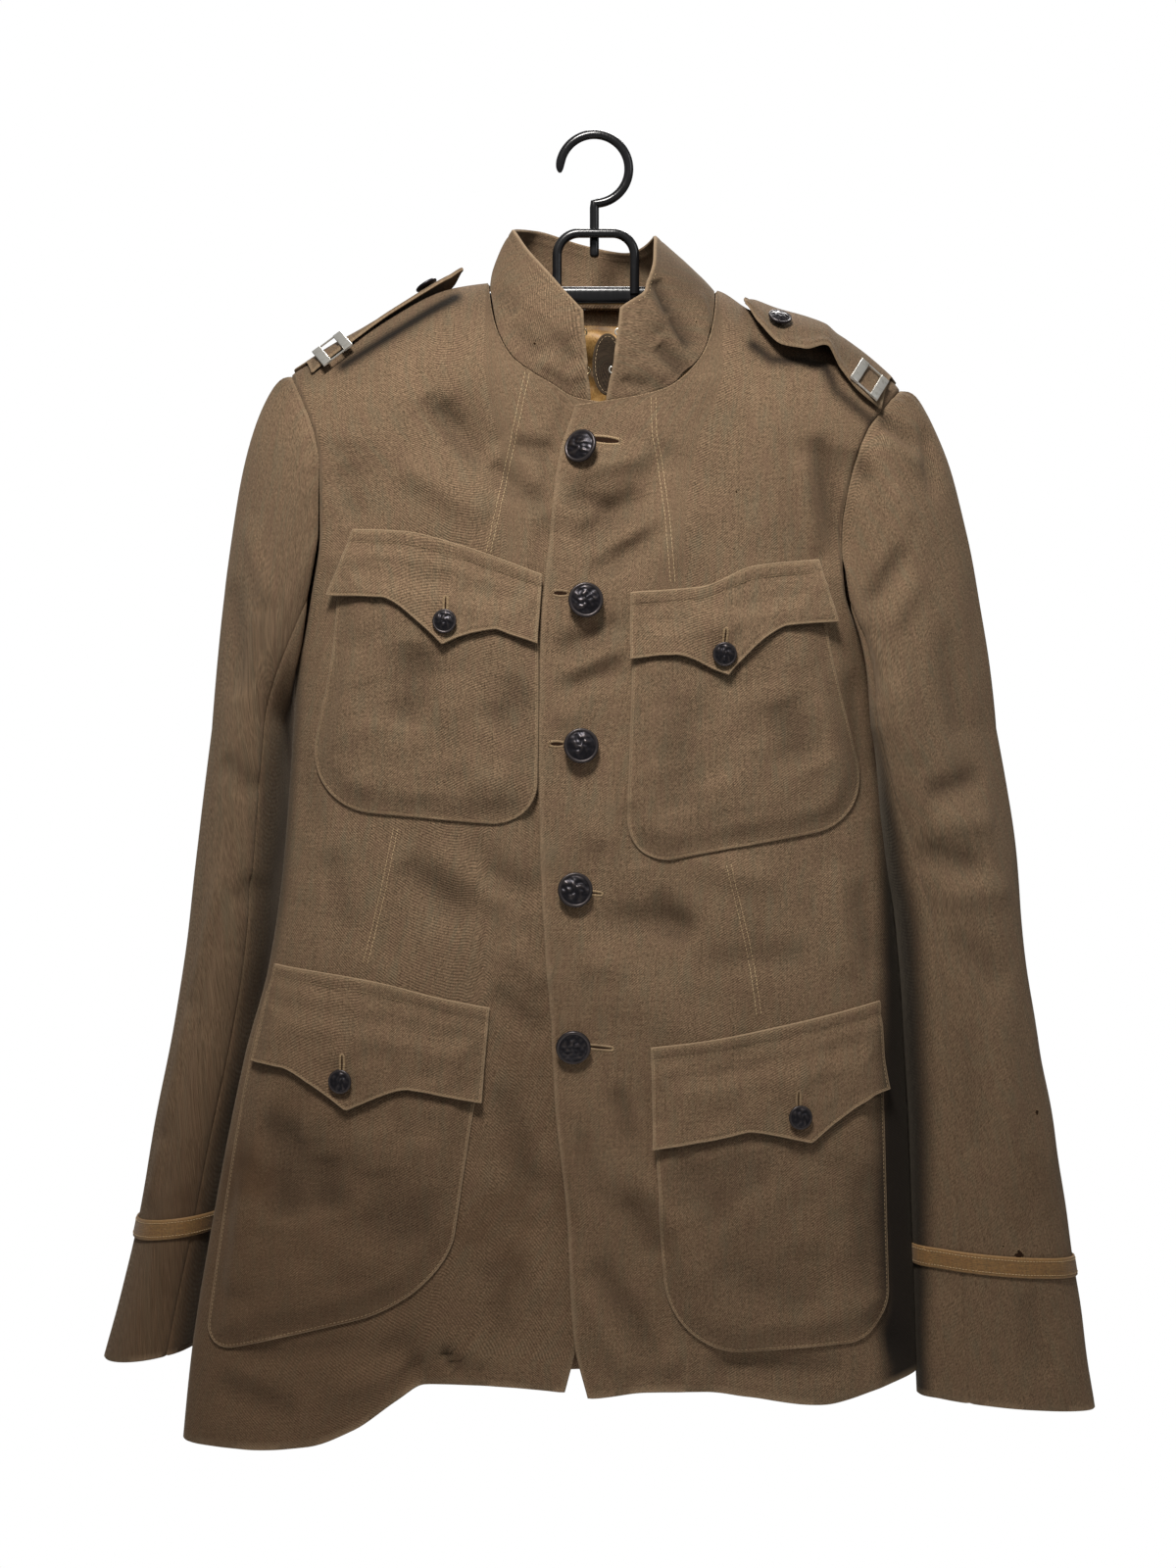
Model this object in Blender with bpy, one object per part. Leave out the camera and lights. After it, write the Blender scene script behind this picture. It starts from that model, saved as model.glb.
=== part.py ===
# Stand-collar military service coat on a plastic hanger, built as its sewn pieces.
# Metres, +Z up, the coat's front faces -Y, and the origin is the inside top of the hanger's hook,
# where it hangs. "Left" and "right" in every name are the viewer's, looking at the front.

import math

import bmesh
import bpy
import numpy as np
from mathutils import Vector
from mathutils.bvhtree import BVHTree

# Thicknesses and gaps
CLOTH = 0.0020        # wall of the wool with the lining behind it
FLAP_CLOTH = 0.0014   # pockets and flaps
COLLAR_CLOTH = 0.0024
SEAM = 0.0003         # gap between two pieces sewn edge to edge
LAY = 0.0006          # gap under a piece that lies on another
CLEAR = 0.0003        # least gap left anywhere under it
UNDERLAP = 0.0019     # gap between the two fronts where they overlap

# Body form
SQUARENESS = 2.5      # power of the rounded section: 2 is an ellipse, more is squarer
FRONT_ROUNDING = 0.085
BACK_ROUNDING = 0.036
UNDERARM = -0.362     # height where the side seam ends and the armhole starts

# Horizontal sections of the body
BODY = (  # height, left edge, right edge, depth of front, depth of back
    (-0.900, -0.281, 0.219, 0.062, 0.050),
    (-0.820, -0.273, 0.216, 0.064, 0.051),
    (-0.750, -0.262, 0.213, 0.066, 0.053),
    (-0.620, -0.237, 0.207, 0.069, 0.054),
    (-0.560, -0.221, 0.203, 0.071, 0.055),
    (-0.500, -0.212, 0.197, 0.072, 0.055),
    (-0.440, -0.207, 0.193, 0.073, 0.056),
    (-0.362, -0.203, 0.191, 0.073, 0.056),
    (-0.290, -0.210, 0.198, 0.070, 0.056),
    (-0.220, -0.222, 0.218, 0.065, 0.054),
    (-0.160, -0.238, 0.238, 0.061, 0.051),
    (-0.090, -0.245, 0.245, 0.060, 0.049),
)
# Top line of the shoulders, seen from the front
SHOULDER = (  # across, height
    (-0.215, -0.1660),
    (-0.205, -0.1600),
    (-0.150, -0.1285),
    (-0.100, -0.1030),
    (-0.072, -0.0985),
    (0.000, -0.0930),
    (0.083, -0.1035),
    (0.105, -0.1165),
    (0.145, -0.1310),
    (0.181, -0.1490),
    (0.207, -0.1700),
    (0.215, -0.1800),
)
ARMHOLE_LEFT_FRONT = (  # height, across
    (-0.362, -0.2030),
    (-0.340, -0.1940),
    (-0.310, -0.1880),
    (-0.270, -0.1820),
    (-0.228, -0.1820),
    (-0.204, -0.1860),
    (-0.182, -0.1945),
    (-0.160, -0.2050),
)
ARMHOLE_RIGHT_FRONT = (  # height, across
    (-0.362, 0.1910),
    (-0.340, 0.1770),
    (-0.310, 0.1660),
    (-0.270, 0.1630),
    (-0.235, 0.1690),
    (-0.204, 0.1800),
    (-0.186, 0.1930),
    (-0.170, 0.2070),
)
ARMHOLE_LEFT_BACK = (  # height, across
    (-0.362, -0.2030),
    (-0.330, -0.1930),
    (-0.270, -0.1870),
    (-0.204, -0.1890),
    (-0.160, -0.2050),
)
ARMHOLE_RIGHT_BACK = (  # height, across
    (-0.362, 0.1910),
    (-0.330, 0.1840),
    (-0.270, 0.1820),
    (-0.210, 0.1880),
    (-0.170, 0.2070),
)
NECK_LEFT = (  # across, height, from the front edge to the shoulder seam
    (0.0060, -0.1870),
    (-0.0130, -0.1835),
    (-0.0290, -0.1750),
    (-0.0450, -0.1650),
    (-0.0570, -0.1540),
    (-0.0665, -0.1330),
    (-0.0705, -0.1120),
    (-0.0720, -0.0985),
)
NECK_RIGHT = (  # across, height, from the front edge to the shoulder seam
    (-0.0120, -0.1895),
    (0.0080, -0.1865),
    (0.0270, -0.1835),
    (0.0460, -0.1785),
    (0.0600, -0.1690),
    (0.0740, -0.1500),
    (0.0800, -0.1280),
    (0.0830, -0.1035),
)
NECK_BACK = (  # across, height
    (-0.0720, -0.0985),
    (-0.0600, -0.1035),
    (-0.0360, -0.1070),
    (0.0050, -0.1090),
    (0.0450, -0.1095),
    (0.0700, -0.1075),
    (0.0830, -0.1035),
)
FRONT_EDGE_RIGHT = (  # height, across: the buttoned edge, on top
    (-0.8400, -0.0040),
    (-0.8010, -0.0130),
    (-0.7170, -0.0180),
    (-0.6510, -0.0250),
    (-0.5950, -0.0280),
    (-0.5080, -0.0340),
    (-0.4060, -0.0360),
    (-0.3470, -0.0350),
    (-0.2680, -0.0280),
    (-0.2250, -0.0230),
    (-0.1895, -0.0120),
)
FRONT_EDGE_LEFT = (  # height, across: the button side, under the other
    (-0.8360, -0.0200),
    (-0.8050, -0.0120),
    (-0.7700, -0.0040),
    (-0.7000, 0.0100),
    (-0.6000, 0.0140),
    (-0.2500, 0.0140),
    (-0.1870, 0.0060),
)
HEM_FRONT = (  # across, height
    (-0.2810, -0.8780),
    (-0.2330, -0.8780),
    (-0.1890, -0.8740),
    (-0.1590, -0.8620),
    (-0.1300, -0.8420),
    (-0.1120, -0.8320),
    (-0.0900, -0.8310),
    (-0.0200, -0.8360),
    (-0.0040, -0.8400),
    (0.0360, -0.8360),
    (0.0720, -0.8360),
    (0.1010, -0.8400),
    (0.1510, -0.8470),
    (0.1870, -0.8400),
    (0.2180, -0.8300),
)
HEM_BACK = (  # across, height
    (-0.2810, -0.8780),
    (-0.2000, -0.8520),
    (0.0000, -0.8440),
    (0.1500, -0.8380),
    (0.2180, -0.8300),
)
# Soft troughs and ridges of the fronts; a trough has a height below zero
FOLDS_FRONT = (  # from across, from height, to across, to height, half width, height
    (-0.100, -0.185, -0.045, -0.245, 0.016, -0.0050),
    (-0.060, -0.210, -0.022, -0.270, 0.012, 0.0030),
    (0.000, -0.285, 0.055, -0.215, 0.013, -0.0035),
    (0.020, -0.330, 0.070, -0.250, 0.014, 0.0030),
    (0.165, -0.215, 0.150, -0.300, 0.018, -0.0045),
    (-0.160, -0.210, -0.168, -0.290, 0.016, -0.0030),
    (0.075, -0.330, 0.085, -0.440, 0.018, -0.0035),
    (-0.110, -0.350, -0.100, -0.430, 0.020, -0.0030),
    (-0.020, -0.480, 0.060, -0.560, 0.020, -0.0030),
    (0.010, -0.560, 0.090, -0.620, 0.020, 0.0030),
    (-0.060, -0.480, -0.150, -0.550, 0.022, -0.0030),
    (0.010, -0.700, 0.045, -0.815, 0.018, -0.0050),
    (0.040, -0.660, 0.085, -0.830, 0.018, 0.0040),
    (-0.030, -0.690, -0.055, -0.820, 0.020, -0.0035),
    (-0.135, -0.800, -0.105, -0.850, 0.015, -0.0050),
    (-0.190, -0.660, -0.170, -0.760, 0.022, -0.0040),
    (0.150, -0.680, 0.140, -0.790, 0.022, -0.0040),
)
FOLDS_BACK = (  # from across, from height, to across, to height, half width, height
    (-0.150, -0.220, -0.090, -0.330, 0.020, -0.0040),
    (0.150, -0.230, 0.100, -0.340, 0.020, -0.0040),
    (-0.120, -0.460, -0.040, -0.520, 0.024, -0.0035),
    (0.130, -0.450, 0.040, -0.510, 0.024, -0.0035),
    (-0.110, -0.600, -0.140, -0.820, 0.024, -0.0040),
    (0.000, -0.560, 0.010, -0.830, 0.026, 0.0040),
    (0.110, -0.590, 0.130, -0.810, 0.024, -0.0040),
)
GRID_FRONT = (14, 22, 6)      # columns, rows, columns along the neck
TURN_WEIGHT = 0.060           # a radian of turn counts as this length where columns are spaced
GRID_BACK = (20, 18, 5)       # columns, rows, columns along each shoulder seam

# Sleeves, level by level: outer and inner edge are distances from the coat's middle
CAP_LEVEL = -0.400
CAP_RINGS = 5
SLEEVE_SIDES = 18
SLEEVE_LEFT = (  # height, outer, inner, front, back, lean of the front towards the body
    (-0.400, -0.2620, -0.2070, -0.030, 0.080, 0.000),
    (-0.490, -0.2740, -0.2140, -0.022, 0.088, 0.000),
    (-0.557, -0.2830, -0.2210, -0.014, 0.092, 0.000),
    (-0.606, -0.2910, -0.2290, -0.010, 0.090, 0.000),
    (-0.667, -0.3030, -0.2420, -0.010, 0.086, 0.000),
    (-0.741, -0.3160, -0.2570, -0.010, 0.082, 0.000),
    (-0.777, -0.3250, -0.2640, -0.010, 0.080, 0.000),
    (-0.826, -0.3370, -0.2730, -0.012, 0.076, 0.000),
)
SLEEVE_RIGHT = (  # height, outer, inner, front, back, lean of the front towards the body
    (-0.400, 0.2710, 0.1960, -0.064, 0.045, 0.034),
    (-0.440, 0.2790, 0.1970, -0.060, 0.045, 0.024),
    (-0.485, 0.2860, 0.1995, -0.056, 0.045, 0.012),
    (-0.536, 0.2900, 0.2065, -0.053, 0.044, 0.004),
    (-0.613, 0.3010, 0.2110, -0.050, 0.041, 0.000),
    (-0.668, 0.3110, 0.2150, -0.048, 0.036, 0.000),
    (-0.745, 0.3220, 0.2170, -0.045, 0.028, 0.000),
    (-0.803, 0.3300, 0.2190, -0.042, 0.022, 0.000),
    (-0.852, 0.3370, 0.2205, -0.040, 0.018, 0.000),
)
CUFF_SLANT_LEFT = 0.004       # how much lower the cuff is on its outer side
CUFF_SLANT_RIGHT = 0.005
SLEEVE_LEVELS = 9
SLEEVE_GAP = 0.0010           # gap between the armhole's edge and the sleeve
BRAID_WIDTH = 0.0127
BRAID_THICK = 0.0012
BRAID_LEVEL_LEFT = -0.738     # middle of the braid
BRAID_LEVEL_RIGHT = -0.757
FRONT_SEAM_TURN = 6           # sides counted from the crown towards the front
BACK_SEAM_TURN = 14

# Collar
COLLAR_TOP = (  # way round, across, depth, height
    (0.00, -0.0085, -0.0600, -0.1265),
    (0.08, -0.0270, -0.0530, -0.1050),
    (0.16, -0.0440, -0.0340, -0.0830),
    (0.25, -0.0555, -0.0040, -0.0625),
    (0.36, -0.0400, 0.0280, -0.0575),
    (0.50, -0.0040, 0.0430, -0.0655),
    (0.64, 0.0260, 0.0320, -0.0710),
    (0.75, 0.0420, 0.0040, -0.0650),
    (0.84, 0.0410, -0.0300, -0.0850),
    (0.92, 0.0350, -0.0520, -0.1090),
    (1.00, 0.0180, -0.0600, -0.1250),
)
COLLAR_ENDS = (-0.0035, 0.0085)   # where the two ends stand on the neck line
COLLAR_ROWS = 5
COLLAR_BULGE = 0.003
COLLAR_STEP = 0.0016          # how far inside the neck edge the collar stands

# Pockets as four corners before rounding, and the radii of the two lower ones
POCKETS = {  # top left, top right, lower left, lower right, radius left, radius right
    "upper_left": ((-0.167, -0.290), (-0.038, -0.316), (-0.195, -0.452), (-0.038, -0.466), 0.050, 0.032),
    "upper_right": ((0.026, -0.330), (0.148, -0.304), (0.021, -0.492), (0.185, -0.462), 0.032, 0.042),
    "lower_left": ((-0.2185, -0.577), (-0.071, -0.602), (-0.259, -0.816), (-0.098, -0.774), 0.020, 0.060),
    "lower_right": ((0.038, -0.628), (0.190, -0.604), (0.050, -0.812), (0.196, -0.806), 0.050, 0.030),
}
POCKET_GRID = (9, 9)
SETTLE_PASSES = 4
SETTLE_REACH = 0.006          # what is further from a face than this isn't under it
# Flaps: the sewn top line, how far each end hangs, and the point in the lower edge
FLAPS = {  # top line points (across, height), depth at left, depth at right, shift at left, at right, point, drop
    "upper_left": (((-0.159, -0.270), (-0.126, -0.272), (-0.093, -0.280), (-0.0345, -0.301)),
                   0.043, 0.045, -0.015, -0.003, 0.54, 0.022),
    "upper_right": (((0.024, -0.313), (0.070, -0.309), (0.105, -0.295), (0.147, -0.290)),
                    0.043, 0.040, -0.001, 0.010, 0.48, 0.020),
    "lower_left": (((-0.2125, -0.558), (-0.148, -0.567), (-0.100, -0.578), (-0.069, -0.584)),
                   0.064, 0.061, -0.013, -0.005, 0.42, 0.022),
    "lower_right": (((0.037, -0.610), (0.078, -0.605), (0.131, -0.595), (0.189, -0.582)),
                    0.066, 0.058, 0.002, 0.003, 0.66, 0.018),
}
FLAP_GRID = (11, 5)
FLAP_POINT_REACH = 0.27       # half width of the point, as a part of the flap's width

# Buttons
LARGE_BUTTON = 0.0229         # diameter
SMALL_BUTTON = 0.0159
LARGE_BUTTONS = (  # across, height
    (-0.0070, -0.2180),
    (-0.0060, -0.3180),
    (-0.0090, -0.4130),
    (-0.0130, -0.5070),
    (-0.0140, -0.6080),
)
FLAP_BUTTONS = {  # across, height
    "upper_left": (-0.0965, -0.3325),
    "upper_right": (0.0850, -0.3525),
    "lower_left": (-0.1640, -0.6320),
    "lower_right": (0.1325, -0.6555),
}
BUTTON_PROFILE = (  # part of the radius, part of the height
    (0.22, 0.00),
    (0.22, 0.30),
    (0.94, 0.36),
    (1.00, 0.56),
    (0.86, 0.74),
    (0.56, 0.94),
)
BUTTON_HEIGHT = 0.36          # of the diameter, shank included

# Shoulder straps, laid over the shoulder line; a back edge below zero is behind it
STRAP_CLOTH = 0.0022
STRAP_LEFT = (  # across, back edge, front edge, lift at the back, lift at the front
    (-0.0900, -0.004, 0.004, 0.0110, 0.0090),
    (-0.0980, -0.020, 0.014, 0.0080, 0.0060),
    (-0.1150, -0.026, 0.016, 0.0040, 0.0030),
    (-0.1500, -0.030, 0.016, 0.0015, 0.0015),
    (-0.1800, -0.030, 0.017, 0.0012, 0.0012),
    (-0.2030, -0.030, 0.018, 0.0004, 0.0004),
)
STRAP_RIGHT = (  # across, back edge, front edge, lift at the back, lift at the front
    (0.1020, 0.004, 0.012, 0.0030, 0.0030),
    (0.1090, -0.010, 0.030, 0.0050, 0.0060),
    (0.1240, -0.012, 0.040, 0.0040, 0.0090),
    (0.1400, -0.012, 0.038, 0.0030, 0.0120),
    (0.1560, -0.012, 0.036, 0.0030, 0.0130),
    (0.1660, -0.012, 0.040, 0.0030, 0.0060),
    (0.1800, -0.010, 0.043, 0.0020, 0.0030),
    (0.2040, -0.006, 0.040, 0.0004, 0.0004),
)
STRAP_GRID = (16, 5)
STRAP_END_SLANT = 0.014       # how far the front corner falls short, along the armhole
STRAP_BUTTON_AT = 0.20        # part of the strap's length from its collar end
RANK_AT = 0.80
RANK_BAR = (0.0245, 0.0065, 0.0018)   # length, width, thickness of one bar
RANK_SPACING = 0.0175
RANK_LINK = 0.0012
RANK_GAP = 0.0010

# Hanger
HOOK_ROD = 0.0062
HOOK_INSIDE = 0.0203          # inside radius of the hook
HOOK_STEM_END = -0.0805
HANDLE_ROD = 0.0064
HANDLE_LEFT = -0.0252
HANDLE_RIGHT = 0.0272
HANDLE_TOP = -0.0652
HANDLE_CORNER = 0.0150
BAR_TOP = -0.1003
BAR_HEIGHT = 0.0120
BAR_THICK = 0.0090
BAR_GAP = 0.0021              # under the shoulder seams
BAR_ENDS = (-0.186, 0.186)

# Collar fastening
TAB_SIZE = (0.0190, 0.0400)
TAB_AT = (0.0085, -0.1620)
WIRE = 0.0010
WIRE_LOOP = 0.0022
HOOKS_AT = (-0.1410, -0.1660)
LINING_CLOTH = 0.0010
LINING_GAP = 0.0020
LINING_AREA = (-0.068, 0.070, -0.120, -0.330)   # left, right, top, bottom

COLOURS = {  # red, green, blue, roughness, metallic
    "wool": (0.105, 0.070, 0.040, 0.90, 0.0),
    "lining": (0.330, 0.190, 0.055, 0.60, 0.0),
    "braid": (0.210, 0.120, 0.045, 0.80, 0.0),
    "bronze": (0.030, 0.026, 0.026, 0.40, 0.9),
    "silver": (0.600, 0.590, 0.550, 0.30, 1.0),
    "plastic": (0.010, 0.010, 0.011, 0.30, 0.0),
}


def smooth(rows, column, at):
    """Reads a table's column at other values of its first one, with no overshoot between the rows."""
    ordered = sorted(rows)
    xs = np.array([row[0] for row in ordered])
    ys = np.array([row[column] for row in ordered])
    at = np.clip(np.asarray(at, float), xs[0], xs[-1])
    k = np.clip(np.searchsorted(xs, at) - 1, 0, len(xs) - 2)
    step = np.diff(xs)
    slope = np.diff(ys) / step
    product = slope[:-1] * slope[1:]
    total = np.where(product > 0, slope[:-1] + slope[1:], 1.0)
    inner = np.where(product > 0, 2 * product / total, 0.0)
    tangent = np.concatenate([slope[:1], inner, slope[-1:]])
    t = (at - xs[k]) / step[k]
    start = (1 + 2 * t) * (1 - t) ** 2 * ys[k] + t * (1 - t) ** 2 * step[k] * tangent[k]
    end = t * t * (3 - 2 * t) * ys[k + 1] + t * t * (t - 1) * step[k] * tangent[k + 1]
    return start + end


def rounded_line(rows, fractions):
    """Points at parts of the length of a smooth curve through the rows."""
    rows = np.asarray(rows, float)
    lengths = np.concatenate([[0], np.cumsum(np.linalg.norm(np.diff(rows, axis=0), axis=1))])
    at = np.asarray(fractions) * lengths[-1]
    table = [tuple([length, *row]) for length, row in zip(lengths, rows)]
    return np.stack([smooth(table, i + 1, at) for i in range(rows.shape[1])], axis=-1)


def ease(t):
    t = np.clip(t, 0.0, 1.0)
    return t * t * (3 - 2 * t)


def unit(vectors):
    return vectors / np.maximum(np.linalg.norm(vectors, axis=-1, keepdims=True), 1e-12)


# The body's surface

def section(z):
    """Middle, half width, front depth and back depth of the body at a height."""
    left = smooth(BODY, 1, z)
    right = smooth(BODY, 2, z)
    return (left + right) / 2, (right - left) / 2, smooth(BODY, 3, z), smooth(BODY, 4, z)


def fold_height(rows, x, z):
    """Sum of the soft troughs and ridges of a fold table at places of a panel."""
    total = np.zeros(np.broadcast(x, z).shape)
    for x0, z0, x1, z1, half, height in rows:
        length2 = (x1 - x0) ** 2 + (z1 - z0) ** 2
        t = ((x - x0) * (x1 - x0) + (z - z0) * (z1 - z0)) / length2
        t = np.clip(t, 0.0, 1.0)
        away = np.hypot(x - x0 - t * (x1 - x0), z - z0 - t * (z1 - z0))
        total = total + height * np.exp(-((away / half) ** 2)) * (1 - (2 * t - 1) ** 4)
    return total


def body_depth(x, z, front):
    """Distance of the body's surface from its middle plane, which is y = 0."""
    middle, half, deep_front, deep_back = section(z)
    across = np.clip(np.abs((x - middle) / half), 0.0, 1.0)
    roundness = (1 - across ** SQUARENESS) ** (1 / SQUARENESS)
    rounding = FRONT_ROUNDING if front else BACK_ROUNDING
    below = np.clip((smooth(SHOULDER, 1, x) - z) / rounding, 0.0, 1.0)
    arch = np.sqrt(1 - (1 - below) ** 2)
    shape = roundness * arch
    folds = fold_height(FOLDS_FRONT if front else FOLDS_BACK, x, z)
    return (deep_front if front else deep_back) * shape + folds * np.clip(3 * shape - 0.6, 0, 1)


def body_point(x, z, front=True, out=0.0):
    """A point of the body's surface, or one moved out from it along its normal."""
    x = np.asarray(x, float)
    z = np.asarray(z, float)
    side = -1 if front else 1
    point = np.stack([x, side * (body_depth(x, z, front) + SEAM / 2), z], axis=-1)
    return point + body_normal(x, z, front) * np.asarray(out)[..., None]


def body_normal(x, z, front=True):
    """The outward normal, level with the seam along the side and shoulder seams."""
    e = 0.0012
    side = -1 if front else 1
    slope_x = (body_depth(x + e, z, front) - body_depth(x - e, z, front)) / (2 * e)
    slope_z = (body_depth(x, z + e, front) - body_depth(x, z - e, front)) / (2 * e)
    middle, half, _, _ = section(z)
    at_side = np.abs((x - middle) / half) > 0.9999
    at_top = smooth(SHOULDER, 1, x) - z < 1e-5
    slope_x = np.where(at_side, (body_depth(x, z, front) - body_depth(x - np.sign(x) * e, z, front))
                       / e * np.sign(x), slope_x)
    slope_z = np.where(at_top, (body_depth(x, z, front) - body_depth(x, z - e, front)) / e, slope_z)
    facing = np.where(at_side | at_top, 0.0, side)
    return unit(np.stack([-slope_x, facing, -slope_z], axis=-1))


def spanned(bottom, top, inner_edge, outer_edge, levels):
    """A panel's grid between its hem and its top line; each edge gives its place at any height."""
    shares = []
    for line in (bottom, top):
        near, far = inner_edge(line[:, 1]), outer_edge(line[:, 1])
        shares.append((line[:, 0] - near) / (far - near))
    v = levels[:, None]
    z = bottom[:, 1] * (1 - v) + top[:, 1] * v
    near, far = inner_edge(z), outer_edge(z)
    across = near + (far - near) * (shares[0] * (1 - v) + shares[1] * v)
    return absolute(np.stack([across, z], axis=-1))


def edge_line(seam_column, armhole):
    """The relative place of a side seam with the armhole above it, at any height."""
    def place(z):
        x = np.where(z <= UNDERARM, smooth(BODY, seam_column, z), smooth(armhole, 1, z))
        return relative(np.stack([x, z], axis=-1))[..., 0]
    return place


def relative(points):
    """Places given across the body as a part of its half width, and back."""
    middle, half, _, _ = section(points[..., 1])
    return np.stack([(points[..., 0] - middle) / half, points[..., 1]], axis=-1)


def absolute(points):
    middle, half, _, _ = section(points[..., 1])
    return np.stack([points[..., 0] * half + middle, points[..., 1]], axis=-1)


def closing(count, power):
    """Parts from 0 to 1 that get closer together towards 1."""
    return 1 - (1 - np.linspace(0, 1, count + 1)) ** power


def climb(low, high, rows):
    """Parts of the way from the hem to the top, with a row on the underarm and close ones near the top."""
    below = round(rows * 0.52)
    heights = np.concatenate([
        np.linspace(low, UNDERARM, below + 1)[:-1],
        UNDERARM + (high - UNDERARM) * closing(rows - below, 1.5),
    ])
    return (heights - low) / (high - low)


def even_steps(start, end, count, front=True):
    """Parts of a straight line across the body, closer together where the body turns."""
    parts = np.linspace(0, 1, 121)
    line = start + (end - start) * parts[:, None]
    points = body_point(line[:, 0], line[:, 1], front)
    facing = body_normal(line[:, 0], line[:, 1], front)
    step = (np.linalg.norm(np.diff(points, axis=0), axis=1)
            + TURN_WEIGHT * np.linalg.norm(np.diff(facing, axis=0), axis=1))
    lengths = np.concatenate([[0], np.cumsum(step)])
    return np.interp(np.linspace(0, lengths[-1], count + 1), lengths, parts)


def hem_line(start, end, hem, columns, front):
    """Places along a hem between two corners, evenly round the body."""
    parts = even_steps(start, end, columns, front)
    x = start[0] + (end[0] - start[0]) * parts
    z = smooth(hem, 1, x)
    z[0], z[-1] = start[1], end[1]
    return np.stack([x, z], axis=-1)


def shoulder_line(start, end, columns):
    x = np.linspace(start, end, columns + 1)
    return np.stack([x, smooth(SHOULDER, 1, x)], axis=-1)


def front_places(right_side, columns, rows, neck_columns):
    """Places of one front's grid, from its front edge to its side edge."""
    edge = FRONT_EDGE_RIGHT if right_side else FRONT_EDGE_LEFT
    neck = NECK_RIGHT if right_side else NECK_LEFT
    armhole = ARMHOLE_RIGHT_FRONT if right_side else ARMHOLE_LEFT_FRONT
    seam_column = 2 if right_side else 1

    def front_edge(z):
        return relative(np.stack([smooth(edge, 1, z), z], axis=-1))[..., 0]

    corner_z = float(smooth(HEM_FRONT, 1, BODY[1][seam_column]))
    side_corner = np.array([float(smooth(BODY, seam_column, corner_z)), corner_z])
    front_corner = np.array([edge[0][1], edge[0][0]])
    bottom = hem_line(front_corner, side_corner, HEM_FRONT, columns, True)
    neck_line = rounded_line(neck, np.linspace(0, 1, neck_columns + 1))
    shoulder = shoulder_line(neck[-1][0], armhole[-1][1], columns - neck_columns)
    top = np.concatenate([neck_line, shoulder[1:]])
    levels = climb(corner_z, armhole[-1][0], rows)
    return spanned(relative(bottom), relative(top), front_edge, edge_line(seam_column, armhole), levels)


def back_places(columns, rows, shoulder_columns):
    """Places of the back's grid, from the left side edge to the right one."""
    corners = []
    for seam_column in (1, 2):
        corner_z = float(smooth(HEM_BACK, 1, BODY[1][seam_column]))
        corners.append(np.array([float(smooth(BODY, seam_column, corner_z)), corner_z]))
    bottom = hem_line(corners[0], corners[1], HEM_BACK, columns, False)
    neck = rounded_line(NECK_BACK, np.linspace(0, 1, columns - 2 * shoulder_columns + 1))
    left = shoulder_line(ARMHOLE_LEFT_BACK[-1][1], NECK_BACK[0][0], shoulder_columns)
    right = shoulder_line(NECK_BACK[-1][0], ARMHOLE_RIGHT_BACK[-1][1], shoulder_columns)
    top = np.concatenate([left[:-1], neck, right[1:]])
    levels = climb(corners[0][1], ARMHOLE_LEFT_BACK[-1][0], rows)
    return spanned(relative(bottom), relative(top), edge_line(1, ARMHOLE_LEFT_BACK),
                   edge_line(2, ARMHOLE_RIGHT_BACK), levels)


def tuck_under(places):
    """How far the button side lies behind the surface, where the other front covers it."""
    beyond = places[..., 0] - smooth(FRONT_EDGE_RIGHT, 1, places[..., 1])
    return (CLOTH + UNDERLAP) * ease((beyond + 0.016) / 0.012)


# Mesh helpers

def material(name):
    found = bpy.data.materials.get(name)
    if found:
        return found
    made = bpy.data.materials.new(name)
    made.use_nodes = True
    shader = made.node_tree.nodes["Principled BSDF"]
    red, green, blue, roughness, metallic = COLOURS[name.split("-")[0]]
    shader.inputs["Base Color"].default_value = (red, green, blue, 1)
    shader.inputs["Roughness"].default_value = roughness
    shader.inputs["Metallic"].default_value = metallic
    made.diffuse_color = (red, green, blue, 1)
    return made


def add_object(name, points, faces, finish):
    mesh = bpy.data.meshes.new(name)
    mesh.from_pydata([tuple(map(float, point)) for point in points], [], faces)
    work = bmesh.new()
    work.from_mesh(mesh)
    bmesh.ops.recalc_face_normals(work, faces=work.faces)
    work.to_mesh(mesh)
    work.free()
    mesh.shade_smooth()
    mesh.set_sharp_from_angle(angle=math.radians(40))
    made = bpy.data.objects.new(name, mesh)
    made.data.materials.append(material(f"{finish}-{name}"))
    bpy.context.scene.collection.objects.link(made)
    return made


def grid_triangles(rows, columns, ring=False):
    """The triangles of one layer of a grid of points."""
    faces = []
    for r in range(rows - 1):
        for c in range(columns if ring else columns - 1):
            d = (c + 1) % columns
            a, b = r * columns + c, r * columns + d
            faces += [[a, b, b + columns], [a, b + columns, a + columns]]
    return faces


def panel_tree(grid):
    """A search tree of a panel's outer faces, all facing the viewer, for the pieces that lie on it."""
    rows, columns = grid.shape[:2]
    points = [Vector(point) for point in grid.reshape(-1, 3)]
    triangles = grid_triangles(rows, columns)
    if grid[0, 0, 0] > grid[0, -1, 0]:
        triangles = [triangle[::-1] for triangle in triangles]
    return BVHTree.FromPolygons(points, triangles)


def lie_on(tree, x, z, out):
    """Points found on a panel's own faces, moved out along the body's normal."""
    points = body_point(x, z)
    for index in np.ndindex(np.shape(x)):
        points[index] = tree.find_nearest(Vector(points[index]))[0]
    return points + body_normal(x, z) * np.asarray(out)[..., None]


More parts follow.
